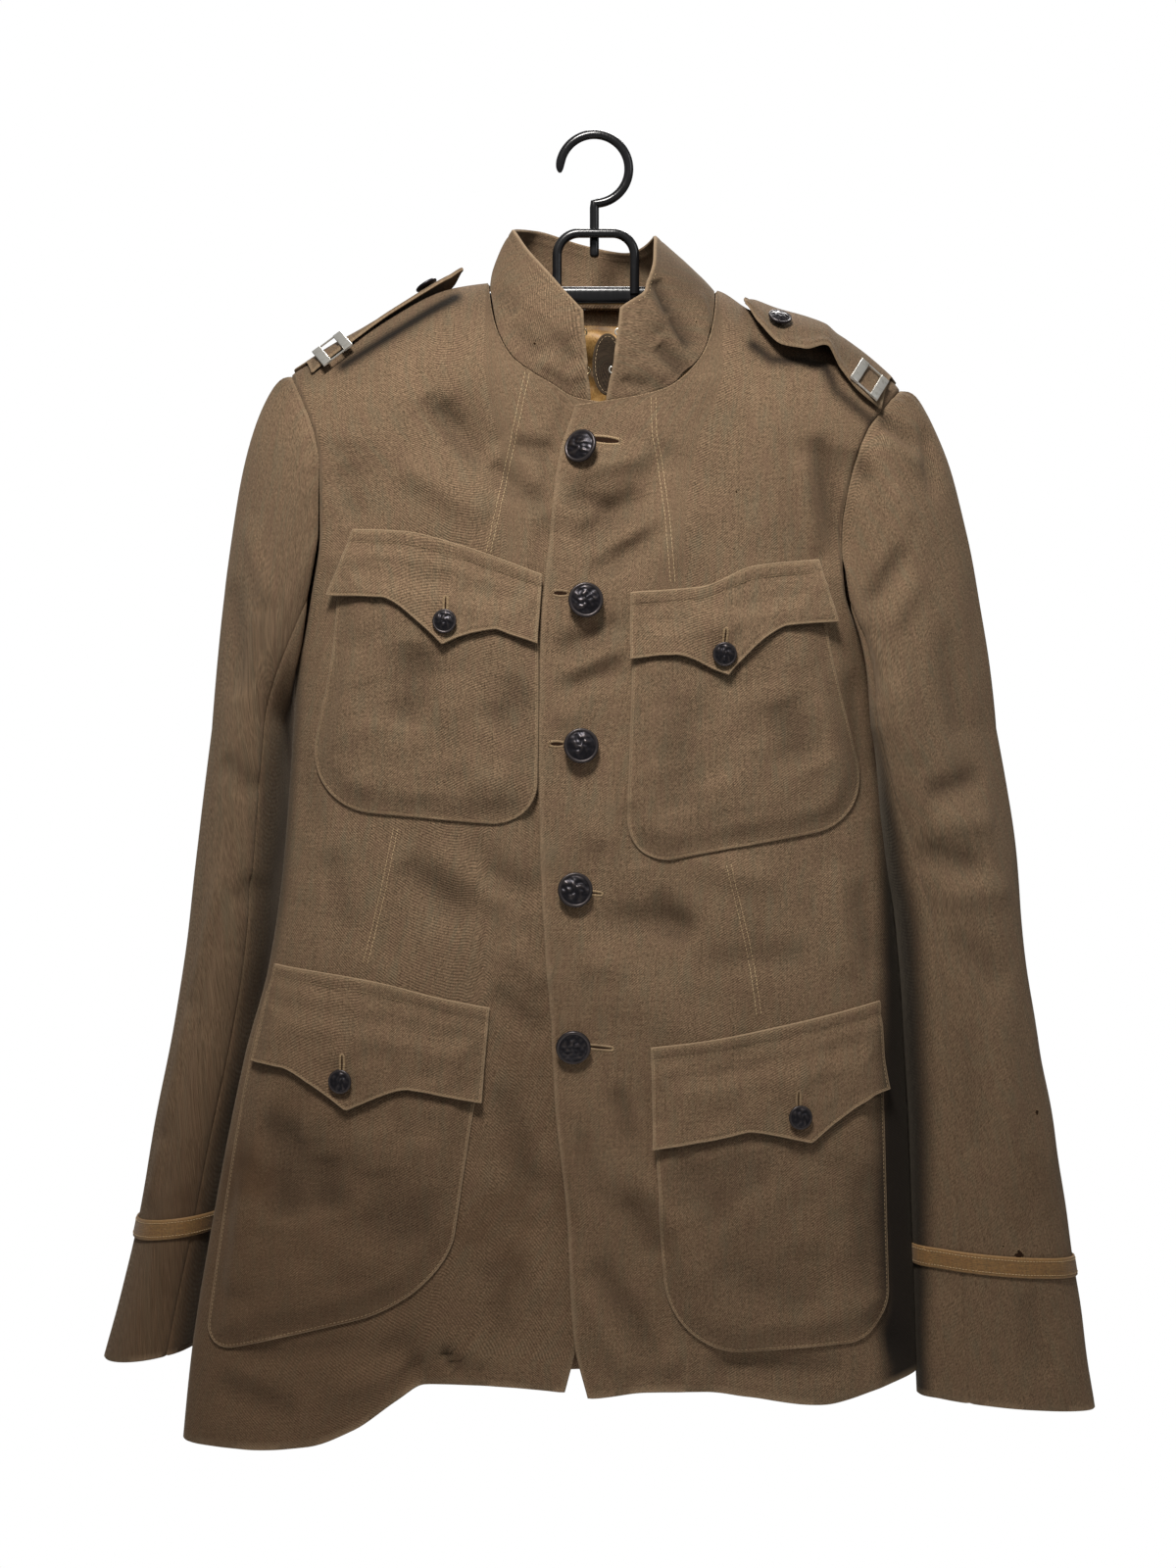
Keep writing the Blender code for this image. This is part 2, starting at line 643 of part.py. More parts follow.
def settle(points, facing, trees):
    """Raises a laid grid of points until none of its faces is nearer than CLEAR to what is under it."""
    rows, columns = points.shape[:2]
    triangles = np.array(grid_triangles(rows, columns))
    parts = [(i / 4, j / 4, (4 - i - j) / 4) for i in range(5) for j in range(5 - i)]
    flat = points.reshape(-1, 3).copy()
    away = facing.reshape(-1, 3)
    for _ in range(SETTLE_PASSES):
        raised = np.zeros(len(flat))
        for triangle in triangles:
            corners = flat[triangle]
            for part in parts:
                place = Vector(np.array(part) @ corners)
                for tree in trees:
                    found, normal, _, distance = tree.find_nearest(place)
                    if distance > SETTLE_REACH:
                        continue
                    short = CLEAR - (place - found).dot(normal)
                    if short > 0:
                        for corner, weight in zip(triangle, part):
                            if weight > 0.2:
                                raised[corner] = max(raised[corner], short)
        flat += away * raised[:, None]
    return flat.reshape(points.shape)


def lay_wall(name, tree, x, z, lift, more_trees=()):
    """A flat piece laid on a panel, and on what the panel carries; returns its outer points."""
    facing = body_normal(x, z)
    under = settle(lie_on(tree, x, z, lift), facing, (tree, *more_trees))
    outer = under + facing * FLAP_CLOTH
    wall(name, outer, under, "wool")
    return outer


def wall(name, outer, inner, finish, ring=False):
    """A closed sheet between two grids of points; a ring's last column joins its first."""
    rows, columns = outer.shape[:2]
    layer = rows * columns
    points = np.concatenate([outer.reshape(-1, 3), inner.reshape(-1, 3)])
    faces = []
    for triangle in grid_triangles(rows, columns, ring):
        faces.append(triangle)
        faces.append([layer + i for i in reversed(triangle)])
    border = [[r * columns + c for c in range(columns)] for r in (0, rows - 1)]
    if ring:
        border = [line + line[:1] for line in border]
    else:
        border += [[r * columns + c for r in range(rows)] for c in (0, columns - 1)]
    for line in border:
        for a, b in zip(line, line[1:]):
            faces.append([a, b, layer + b, layer + a])
    return add_object(name, points, faces, finish)


def grid_normals(grid, ring=False):
    """Normals of a grid of points, from its neighbours."""
    if ring:
        grid_across = np.roll(grid, -1, axis=1) - np.roll(grid, 1, axis=1)
    else:
        grid_across = np.gradient(grid, axis=1)
    return unit(np.cross(grid_across, np.gradient(grid, axis=0)))


def tube(name, path, radius, finish, sides=10):
    """A round bar along a path that lies in an upright plane facing the viewer."""
    path = np.asarray(path, float)
    forward = unit(np.gradient(path, axis=0))
    depth = np.array([0.0, 1.0, 0.0])
    flat = unit(np.cross(forward, depth))
    before = unit(path[1:-1] - path[:-2])
    after = unit(path[2:] - path[1:-1])
    mitre = np.ones(len(path))
    mitre[1:-1] = 1 / np.sqrt(np.maximum((1 + (before * after).sum(axis=-1)) / 2, 0.4))
    turns = np.linspace(0, 2 * math.pi, sides, endpoint=False)
    rings = (path[:, None] + radius * np.cos(turns)[None, :, None] * flat[:, None] * mitre[:, None, None]
             + radius * np.sin(turns)[None, :, None] * depth)
    return capped_rings(name, rings, finish)


def capped_rings(name, rings, finish):
    """A solid through closed rings, flat at both ends."""
    count, sides = rings.shape[:2]
    faces = [list(range(sides)), list(range((count - 1) * sides, count * sides))]
    for r in range(count - 1):
        for c in range(sides):
            d = (c + 1) % sides
            faces.append([r * sides + c, r * sides + d, (r + 1) * sides + d, (r + 1) * sides + c])
    return add_object(name, rings.reshape(-1, 3), faces, finish)


# Panels

def make_fronts():
    """The two fronts; returns their outer grids."""
    grids = {}
    for name, right_side in (("front_left", False), ("front_right", True)):
        places = front_places(right_side, *GRID_FRONT)
        x, z = places[..., 0], places[..., 1]
        behind = np.zeros(x.shape) if right_side else -tuck_under(places)
        outer = body_point(x, z, True, behind)
        inner = outer - body_normal(x, z, True) * CLOTH
        wall(name, outer, inner, "wool")
        grids[name] = outer
    return grids


def make_back():
    places = back_places(*GRID_BACK)
    x, z = places[..., 0], places[..., 1]
    outer = body_point(x, z, False)
    wall("back", outer, outer - body_normal(x, z, False) * CLOTH, "wool")
    return outer


def make_lining():
    """The lining behind the neck opening, inside the back."""
    left, right, top, bottom = LINING_AREA
    x, z = np.meshgrid(np.linspace(left, right, 9), np.linspace(bottom, top, 6))
    outer = body_point(x, z, False, -(CLOTH + LINING_GAP))
    inner = body_point(x, z, False, -(CLOTH + LINING_GAP + LINING_CLOTH))
    wall("neck_lining", outer, inner, "lining")


# Pockets and flaps

def pocket_places(corners, columns, rows):
    """Places of a pocket: a leaning four-sided piece with its two lower corners rounded."""
    top_left, top_right, low_left, low_right, round_left, round_right = corners
    top_left, top_right, low_left, low_right = map(np.array, (top_left, top_right, low_left, low_right))
    width = np.linalg.norm(low_right - low_left)
    height = np.linalg.norm(low_left - top_left)
    q = 1 - (1 - np.linspace(0, 1, rows + 1)) ** 1.5
    p = even_steps((top_left + low_left) / 2, (top_right + low_right) / 2, columns)

    def inset(radius):
        into = np.clip((q - 1 + radius / height) / (radius / height), 0, 1)
        return radius / width * (1 - np.sqrt(1 - into ** 2))

    across = inset(round_left)[:, None] + (1 - inset(round_left) - inset(round_right))[:, None] * p[None]
    down = q[:, None] + 0 * across
    across, down = across[..., None], down[..., None]
    corner = [relative(point) for point in (top_left, top_right, low_left, low_right)]
    upper = corner[0] * (1 - across) + corner[1] * across
    lower = corner[2] * (1 - across) + corner[3] * across
    return absolute(upper * (1 - down) + lower * down)


def flap_places(row, columns, rows):
    """Places of a flap, whose lower edge runs down to a point under its button."""
    top, deep_left, deep_right, shift_left, shift_right, point, drop = row
    p = np.unique(np.append(even_steps(np.array(top[0]), np.array(top[-1]), columns - 1), point))
    q = np.linspace(0, 1, rows + 1)[:, None]
    line = rounded_line(top, p)
    near = np.clip(1 - np.abs(p - point) / FLAP_POINT_REACH, 0, 1)
    depth = deep_left * (1 - p) + deep_right * p + drop * near ** 1.25
    shift = shift_left * (1 - p) + shift_right * p
    return np.stack([line[:, 0] + shift * q, line[:, 1] - depth * q], axis=-1)


def flap_lift(q):
    """How far a flap's underside is from the panel: it climbs onto the pocket below its seam."""
    return LAY + (FLAP_CLOTH + LAY) * ease((q - 0.06) / 0.22)


def make_pockets(trees):
    """Pockets and flaps; returns a search tree of each flap."""
    flaps = {}
    for name, corners in POCKETS.items():
        tree = trees[name.split("_")[1]]
        places = pocket_places(corners, *POCKET_GRID)[::-1]
        pocket = lay_wall(f"pocket_{name}", tree, places[..., 0], places[..., 1], np.array(LAY))
        places = flap_places(FLAPS[name], *FLAP_GRID)
        lift = flap_lift(np.linspace(0, 1, len(places))[:, None] + 0 * places[..., 0])
        places, lift = places[::-1], lift[::-1]
        flap = lay_wall(f"flap_{name}", tree, places[..., 0], places[..., 1], lift, (panel_tree(pocket),))
        flaps[name] = panel_tree(flap)
    return flaps


# Buttons

def make_button(name, place, normal, diameter, sides, finish="bronze"):
    """A turned domed button with its shank towards the cloth."""
    normal = unit(np.asarray(normal, float))
    right = unit(np.cross([0.0, 0.0, 1.0], normal) + [1e-9, 0, 0])
    up = np.cross(normal, right)
    turns = np.linspace(0, 2 * math.pi, sides, endpoint=False)
    height = diameter * BUTTON_HEIGHT
    rings = []
    for part, tall in BUTTON_PROFILE:
        radius = diameter / 2 * part
        circle = radius * (np.cos(turns)[:, None] * right + np.sin(turns)[:, None] * up)
        rings.append(place + normal * (LAY / 2 + tall * height) + circle)
    capped_rings(name, np.array(rings), finish)


def make_buttons(trees, flaps):
    for number, place in enumerate(LARGE_BUTTONS, start=1):
        x, z = map(np.array, place)
        make_button(f"button_{number}", lie_on(trees["right"], x, z, 0.0), body_normal(x, z), LARGE_BUTTON, 14)
    for name, place in FLAP_BUTTONS.items():
        x, z = map(np.array, place)
        point = lie_on(flaps[name], x, z, 0.0)
        make_button(f"button_flap_{name}", point, body_normal(x, z), SMALL_BUTTON, 10)


# Collar

def neck_loop(grids, back):
    """The panels' neck edges as one line, from the left collar end to the right one."""
    count = GRID_FRONT[2] + 1
    left = grids["front_left"][-1, :count]
    right = grids["front_right"][-1, :count]
    behind = back[-1, GRID_BACK[2]:-GRID_BACK[2]]
    return left, behind, right


def start_at(line, x):
    """Cuts the start of a line off where it passes a place across."""
    k = next(i for i in range(len(line) - 1) if (line[i][0] - x) * (line[i + 1][0] - x) <= 0)
    part = (x - line[k][0]) / (line[k + 1][0] - line[k][0])
    return np.concatenate([[line[k] * (1 - part) + line[k + 1] * part], line[k + 1:]])


def make_collar(grids, back):
    left, behind, right = neck_loop(grids, back)
    left = start_at(left, COLLAR_ENDS[0])
    right = start_at(right, COLLAR_ENDS[1])
    base = np.concatenate([left[:-1], behind, right[::-1][1:]])
    inward = unit((base.mean(axis=0) - base) * [1, 1, 0])
    base = base + inward * COLLAR_STEP + [0, 0, LAY]
    lengths = np.concatenate([[0], np.cumsum(np.linalg.norm(np.diff(base, axis=0), axis=1))])
    round_to = lengths / lengths[-1]
    top = np.stack([smooth(COLLAR_TOP, i, round_to) for i in (1, 2, 3)], axis=-1)
    middle = (base.mean(axis=0) + top.mean(axis=0)) / 2
    t = np.linspace(0, 1, COLLAR_ROWS + 1)[:, None, None]
    grid = base * (1 - t) + top * t
    away = unit((grid - middle) * [1, 1, 0])
    grid = grid + away * COLLAR_BULGE * 4 * t * (1 - t)
    normal = -grid_normals(grid)
    normal[0] = unit(normal[0] * [1, 1, 0])
    wall("collar", grid, grid - normal * COLLAR_CLOTH, "wool")
    return grid


def end_point(collar, end, height):
    """The point at a height on one of the collar's two front ends."""
    column = collar[:, end]
    return np.array([np.interp(height, column[:, 2], column[:, i]) for i in range(3)])


def make_collar_fastening(collar):
    """The oval tab behind the collar's opening, and its hooks and eyes."""
    depth = end_point(collar, -1, TAB_AT[1])[1] + COLLAR_CLOTH + 0.0022
    turns = np.linspace(0, 2 * math.pi, 18, endpoint=False)
    oval = np.stack([TAB_AT[0] + TAB_SIZE[0] / 2 * np.cos(turns), 0 * turns,
                     TAB_AT[1] + TAB_SIZE[1] / 2 * np.sin(turns)], axis=-1)
    capped_rings("collar_tab", np.array([oval + [0, depth, 0], oval + [0, depth + 0.0012, 0]]), "wool")
    for number, height in enumerate(HOOKS_AT, start=1):
        for kind, end, way in (("eye", 0, 1), ("hook", -1, -1)):
            turn = np.linspace(-0.42 * math.pi, 0.42 * math.pi, 7)
            start = WIRE / 2 + SEAM - WIRE_LOOP * math.cos(turn[0])
            centre = end_point(collar, end, height) + [way * start, COLLAR_CLOTH / 2, 0]
            path = np.stack([centre[0] + way * WIRE_LOOP * np.cos(turn), centre[1] + 0 * turn,
                             centre[2] + WIRE_LOOP * np.sin(turn)], axis=-1)
            tube(f"collar_{kind}_{number}", path, WIRE / 2, "silver", sides=6)


# Sleeves

def armhole_line(front_edge, back_edge, turns):
    """Points round the armhole; turn 0 is the shoulder tip, a quarter is the front."""
    points = []
    for turn in turns:
        edge = front_edge if turn <= math.pi else back_edge
        low, high = edge[0, 2], edge[-1, 2]
        height = high + (low - high) * (1 - math.cos(turn)) / 2
        points.append([np.interp(height, edge[:, 2], edge[:, i]) for i in range(3)])
    return np.array(points)


def sleeve_ring(table, side, slant, z, turns):
    """One ring of the sleeve: rounded, and leaning where the table says so."""
    outer, inner, front, back, lean = (smooth(table, i, z) for i in range(1, 6))
    low = table[-1][0]
    low_part = ease((CAP_LEVEL - z) / (CAP_LEVEL - low))
    middle_x, middle_y = (outer + inner) / 2, (front + back) / 2
    half_x, half_y = abs(outer - inner) / 2, (back - front) / 2
    x = middle_x + side * half_x * np.cos(turns) - side * lean * np.maximum(np.sin(turns), 0)
    y = middle_y - half_y * np.sin(turns)
    return np.stack([x, y, z - slant * low_part * np.cos(turns)], axis=-1)


def sleeve_grid(side, hole):
    """The sleeve's outer surface: rows from the armhole to the cuff, columns round it."""
    table = SLEEVE_LEFT if side < 0 else SLEEVE_RIGHT
    slant = CUFF_SLANT_LEFT if side < 0 else CUFF_SLANT_RIGHT
    turns = np.linspace(0, 2 * math.pi, SLEEVE_SIDES, endpoint=False)
    start = hole + np.array([side * SLEEVE_GAP, 0, 0])
    end = sleeve_ring(table, side, slant, CAP_LEVEL, turns)
    crown = ((1 + np.cos(turns)) / 2)[:, None]
    out = np.array([side, 0.0, 0.0]) * (0.006 + 0.105 * crown ** 1.2)
    leave = out + np.array([0.0, 0.0, -1.0]) * (0.020 + 0.060 * (1 - crown))
    leave[:, 1] -= 0.060 * np.sin(turns) * (1 - crown[:, 0])
    arrive = np.array([side * 0.010, 0.0, -0.150]) * (0.45 + 0.55 * crown)
    rows = []
    for t in np.linspace(0, 1, CAP_RINGS + 1):
        rows.append(start * (1 + 2 * t) * (1 - t) ** 2 + leave * t * (1 - t) ** 2
                    + end * t * t * (3 - 2 * t) + arrive * t * t * (t - 1))
    for z in np.linspace(CAP_LEVEL, table[-1][0], SLEEVE_LEVELS + 1)[1:]:
        rows.append(sleeve_ring(table, side, slant, z, turns))
    return np.array(rows), table, slant


def make_sleeve(side, front_edge, back_edge):
    word = "left" if side < 0 else "right"
    turns = np.linspace(0, 2 * math.pi, SLEEVE_SIDES, endpoint=False)
    grid, table, slant = sleeve_grid(side, armhole_line(front_edge, back_edge, turns))
    normal = grid_normals(grid, ring=True) * side
    for part, first, last in (("upper", BACK_SEAM_TURN - SLEEVE_SIDES, FRONT_SEAM_TURN),
                              ("under", FRONT_SEAM_TURN, BACK_SEAM_TURN)):
        columns = [i % SLEEVE_SIDES for i in range(first, last + 1)]
        outer = grid[:, columns].copy()
        facing = normal[:, columns].copy()
        step = unit(outer[:, 1] - outer[:, 0])
        outer[:, 0] += step * SEAM
        step = unit(outer[:, -1] - outer[:, -2])
        outer[:, -1] -= step * SEAM
        wall(f"sleeve_{word}_{part}", outer, outer - facing * CLOTH, "wool")
    level = BRAID_LEVEL_LEFT if side < 0 else BRAID_LEVEL_RIGHT
    rings = []
    for z in (level - BRAID_WIDTH / 2, level, level + BRAID_WIDTH / 2):
        rings.append(sleeve_ring(table, side, slant, z, turns))
    rings = np.array(rings)
    facing = grid_normals(rings, ring=True) * -side
    wall(f"cuff_braid_{word}", rings + facing * (LAY + BRAID_THICK), rings + facing * LAY, "braid", ring=True)


# Shoulder straps

def shoulder_point(x, across, out):
    """A point over the shoulder: across it by an arc's length, in front where above zero."""
    middle, half, deep_front, deep_back = section(smooth(SHOULDER, 1, x))
    part = np.clip(np.abs((x - middle) / half), 0, 0.999)
    roundness = (1 - part ** SQUARENESS) ** (1 / SQUARENESS)
    front = across > 0
    depth = np.where(front, deep_front, deep_back) * roundness
    drop = np.where(front, FRONT_ROUNDING, BACK_ROUNDING)
    angle = np.abs(across) / depth
    y = -np.sign(across) * depth * np.sin(angle)
    z = smooth(SHOULDER, 1, x) - drop * (1 - np.cos(angle))
    tilt_y = -np.sign(across) * np.sin(angle) / depth
    tilt_z = np.cos(angle) / drop
    normal = unit(np.stack([0 * x, tilt_y, tilt_z], axis=-1))
    return np.stack([x, y, z], axis=-1) + normal * out[..., None]


def make_strap(name, table):
    columns, rows = STRAP_GRID
    ends = table[0][0], table[-1][0]
    t = np.linspace(0, 1, columns + 1)[None, :]
    s = np.linspace(0, 1, rows + 1)[:, None]
    x = ends[0] + (ends[1] - ends[0]) * t
    across = smooth(table, 1, x) * (1 - s) + smooth(table, 2, x) * s
    lift = smooth(table, 3, x) * (1 - s) + smooth(table, 4, x) * s + 0.0006
    x = x - np.sign(x) * STRAP_END_SLANT * s * t ** 4 * (across > 0)
    outer = shoulder_point(x, across, lift + STRAP_CLOTH)
    inner = shoulder_point(x, across, lift)
    wall(name, outer, inner, "wool")
    return outer


def make_rank_bars(name, strap):
    """Two plain bars joined by thin links, pinned on the strap near the sleeve."""
    rows, columns = strap.shape[:2]
    at = RANK_AT * (columns - 1)
    k = int(at)
    place = strap[rows // 2, k] * (1 - at + k) + strap[rows // 2, k + 1] * (at - k)
    length_way = unit(strap[rows // 2, k + 2] - strap[rows // 2, k - 2])
    cross_way = unit(strap[-1, k] - strap[0, k])
    up = np.cross(length_way, cross_way)
    up = unit(up * np.sign(up[2]))
    cross_way = unit(np.cross(up, length_way))
    bar_long, bar_wide, bar_thick = RANK_BAR
    half_long = bar_long / 2
    half_gap = RANK_SPACING / 2
    edge = half_gap + bar_wide / 2
    inside = half_gap - bar_wide / 2
    opening = half_long - RANK_LINK

    def corner(along_strap, across_strap, height):
        return place + length_way * along_strap + cross_way * across_strap + up * height

    base = RANK_GAP
    outline = [(-edge, -half_long), (edge, -half_long), (edge, half_long), (-edge, half_long)]
    hole = [(-inside, -opening), (inside, -opening), (inside, opening), (-inside, opening)]
    points = [corner(a, b, h) for h in (base, base + bar_thick) for a, b in outline + hole]
    faces = []
    for i in range(4):
        j = (i + 1) % 4
        faces.append([i, j, 4 + j, 4 + i])
        faces.append([8 + i, 12 + i, 12 + j, 8 + j])
        faces.append([i, 8 + i, 8 + j, j])
        faces.append([4 + i, 4 + j, 12 + j, 12 + i])
    add_object(name, points, faces, "silver")


def make_straps():
    for word, table in (("left", STRAP_LEFT), ("right", STRAP_RIGHT)):
        strap = make_strap(f"strap_{word}", table)
        rows, columns = strap.shape[:2]
        k = round(STRAP_BUTTON_AT * (columns - 1))
        normal = np.cross(strap[rows // 2, k + 1] - strap[rows // 2, k - 1], strap[-1, k] - strap[0, k])
        normal = normal * np.sign(normal[2])
        make_button(f"button_strap_{word}", strap[rows // 2, k], normal, SMALL_BUTTON, 10)
        make_rank_bars(f"rank_bars_{word}", strap)


# Hanger

def make_hook():
    """The open hook: an arc over the top, and a stem down behind the handle."""
    radius = HOOK_INSIDE + HOOK_ROD / 2
    arc = np.radians(np.linspace(184, -84, 19))
    path = [(radius * math.cos(a), 0.0, -HOOK_INSIDE + radius * math.sin(a)) for a in arc]
    path += [(0.0, 0.0, -HOOK_INSIDE - radius), (0.0, 0.0, -HOOK_INSIDE - radius - 0.006)]
    path.append((0.0, 0.0, HOOK_STEM_END))
    tube("hanger_hook", path, HOOK_ROD / 2, "plastic", sides=8)


def bar_level(x):
    """Height of the middle of the hanger's bar, which runs just under the shoulders' cloth."""
    under_cloth = smooth(SHOULDER, 1, x) - CLOTH - BAR_GAP - BAR_HEIGHT / 2
    return np.minimum(BAR_TOP - BAR_HEIGHT / 2, under_cloth)


def make_hanger():
    """The bar that carries the shoulders, with its handle."""
    x = np.linspace(*BAR_ENDS, 27)
    turns = np.linspace(0, 2 * math.pi, 8, endpoint=False)
    squared = np.sign(np.cos(turns)) * np.abs(np.cos(turns)) ** 0.7
    upright = np.sign(np.sin(turns)) * np.abs(np.sin(turns)) ** 0.7
    middle = bar_level(x)
    end_part = ease(np.minimum(x - x[0], x[-1] - x) / 0.010) * 0.4 + 0.6
    slope = np.gradient(middle, x)
    rings = []
    for i, place in enumerate(x):
        way_up = unit(np.array([-slope[i], 0.0, 1.0]))
        size = end_part[i]
        centre = np.array([place, 0.0, middle[i] + BAR_HEIGHT / 2 * (1 - size)])
        rings.append([centre + way_up * BAR_HEIGHT / 2 * size * up + np.array([0, BAR_THICK / 2 * size, 0]) * deep
                      for deep, up in zip(squared, upright)])
    bar = capped_rings("hanger_bar", np.array(rings), "plastic")
    corner = np.radians(np.linspace(180, 90, 5))
    ahead = -(HANDLE_ROD / 2 + HOOK_ROD / 2 + SEAM)
    left = [(HANDLE_LEFT + HANDLE_CORNER * (1 + math.cos(a)), ahead,
             HANDLE_TOP - HANDLE_CORNER * (1 - math.sin(a))) for a in corner]
    right = [(HANDLE_RIGHT - HANDLE_CORNER * (1 + math.cos(a)), ahead,
              HANDLE_TOP - HANDLE_CORNER * (1 - math.sin(a))) for a in corner[::-1]]
    low = BAR_TOP - BAR_HEIGHT / 2
    path = [(HANDLE_LEFT, ahead, low)] + left + right + [(HANDLE_RIGHT, ahead, low)]
    handle = tube("handle_shape", path, HANDLE_ROD / 2, "plastic", sides=8)
    handle.hide_render = True
    handle.display_type = "WIRE"
    join = bar.modifiers.new("Handle", "BOOLEAN")
    join.operation = "UNION"
    join.object = handle


def main():
    for old in list(bpy.data.objects):
        bpy.data.objects.remove(old, do_unlink=True)
    fronts = make_fronts()
    back = make_back()
    make_lining()
    trees = {"left": panel_tree(fronts["front_left"]), "right": panel_tree(fronts["front_right"])}
    flaps = make_pockets(trees)
    make_buttons(trees, flaps)
    collar = make_collar(fronts, back)
    make_collar_fastening(collar)
    for side, name, column in ((-1, "front_left", 0), (1, "front_right", -1)):
        front_edge = fronts[name][:, -1]
        back_edge = back[:, column]
        front_edge = front_edge[front_edge[:, 2] > UNDERARM - 1e-6]
        back_edge = back_edge[back_edge[:, 2] > UNDERARM - 1e-6]
        make_sleeve(side, front_edge, back_edge)
    make_straps()
    make_hook()
    make_hanger()


main()
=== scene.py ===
import math

import bpy
import numpy as np
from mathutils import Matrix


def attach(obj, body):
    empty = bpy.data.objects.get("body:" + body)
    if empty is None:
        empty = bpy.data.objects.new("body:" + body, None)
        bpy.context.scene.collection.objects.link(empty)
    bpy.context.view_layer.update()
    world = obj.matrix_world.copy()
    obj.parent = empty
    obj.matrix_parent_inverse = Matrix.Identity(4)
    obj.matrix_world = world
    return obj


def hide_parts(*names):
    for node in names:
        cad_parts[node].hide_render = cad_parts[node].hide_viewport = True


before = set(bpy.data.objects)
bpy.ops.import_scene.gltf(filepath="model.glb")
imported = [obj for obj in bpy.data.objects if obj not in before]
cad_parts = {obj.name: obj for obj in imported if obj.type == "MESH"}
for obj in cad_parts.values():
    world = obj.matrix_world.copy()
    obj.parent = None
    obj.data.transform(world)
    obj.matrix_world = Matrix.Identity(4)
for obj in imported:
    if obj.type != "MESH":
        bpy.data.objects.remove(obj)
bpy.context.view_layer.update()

# A stand-collar service coat on a plastic hanger. Metres, Z up, the coat's front faces -Y,
# and left and right are the viewer's, looking at the front.
# Each cloth piece is a thin shell on the form that its solid has.


# A table written in millimetres, in metres
def metres(rows):
    return tuple(tuple(round(part * 0.001, 8) for part in row) for row in rows)


photoView = {
    "distance": 1.85,  # from the camera to the middle of the coat
    "across": -0.0043,
    "height": -0.4376,
    "lens": 62.6,  # on a 36 mm tall sensor
}


def makeCamera():
    data = bpy.data.cameras.new("photoCamera")
    data.sensor_fit = "VERTICAL"
    data.sensor_height = 36
    data.lens = photoView["lens"]
    data.clip_start = 0.05
    camera = bpy.data.objects.new("photoCamera", data)
    camera.location = (photoView["across"], -photoView["distance"], photoView["height"])
    camera.rotation_euler = (math.pi / 2, 0, 0)
    bpy.context.scene.collection.objects.link(camera)
    bpy.context.scene.camera = camera


makeCamera()
print("camera ready")

coat = {
    "squareness": 2.5,  # 2 makes the body's section an ellipse, more makes it squarer
    "frontRounding": 0.085,  # how far down the shoulders round away
    "backRounding": 0.036,
    "underarm": -0.362,
    "seamGap": 0.0003,
    "clothThick": 0.0018,
    "underlap": 0.0019,  # between the two fronts where they overlap
    "creaseStrength": 1.9,
    "turnWeight": 0.06,  # how much closer the columns stand where the body turns
    # height, left edge, right edge, depth of front, depth of back
    "sections": metres((
        (-900, -281, 219, 62, 50), (-820, -273, 216, 64, 51), (-750, -262, 213, 66, 53),
        (-620, -237, 207, 69, 54), (-560, -221, 203, 71, 55), (-500, -212, 197, 72, 55),
        (-440, -207, 193, 73, 56), (-362, -203, 191, 73, 56), (-290, -210, 198, 70, 56),
        (-220, -222, 218, 65, 54), (-160, -238, 238, 61, 51), (-90, -245, 245, 60, 49),
    )),
    "shoulder": metres((  # across, height: the top line of the shoulders
        (-215, -166), (-205, -160), (-150, -128.5), (-100, -103), (-72, -98.5), (0, -93), (83, -103.5),
        (105, -116.5), (145, -131), (181, -149), (207, -170), (215, -180),
    )),
}

# Every table of folds, creases and dents has the columns: from across, from height, to across,
# to height, half width, height. A height below zero is a trough.

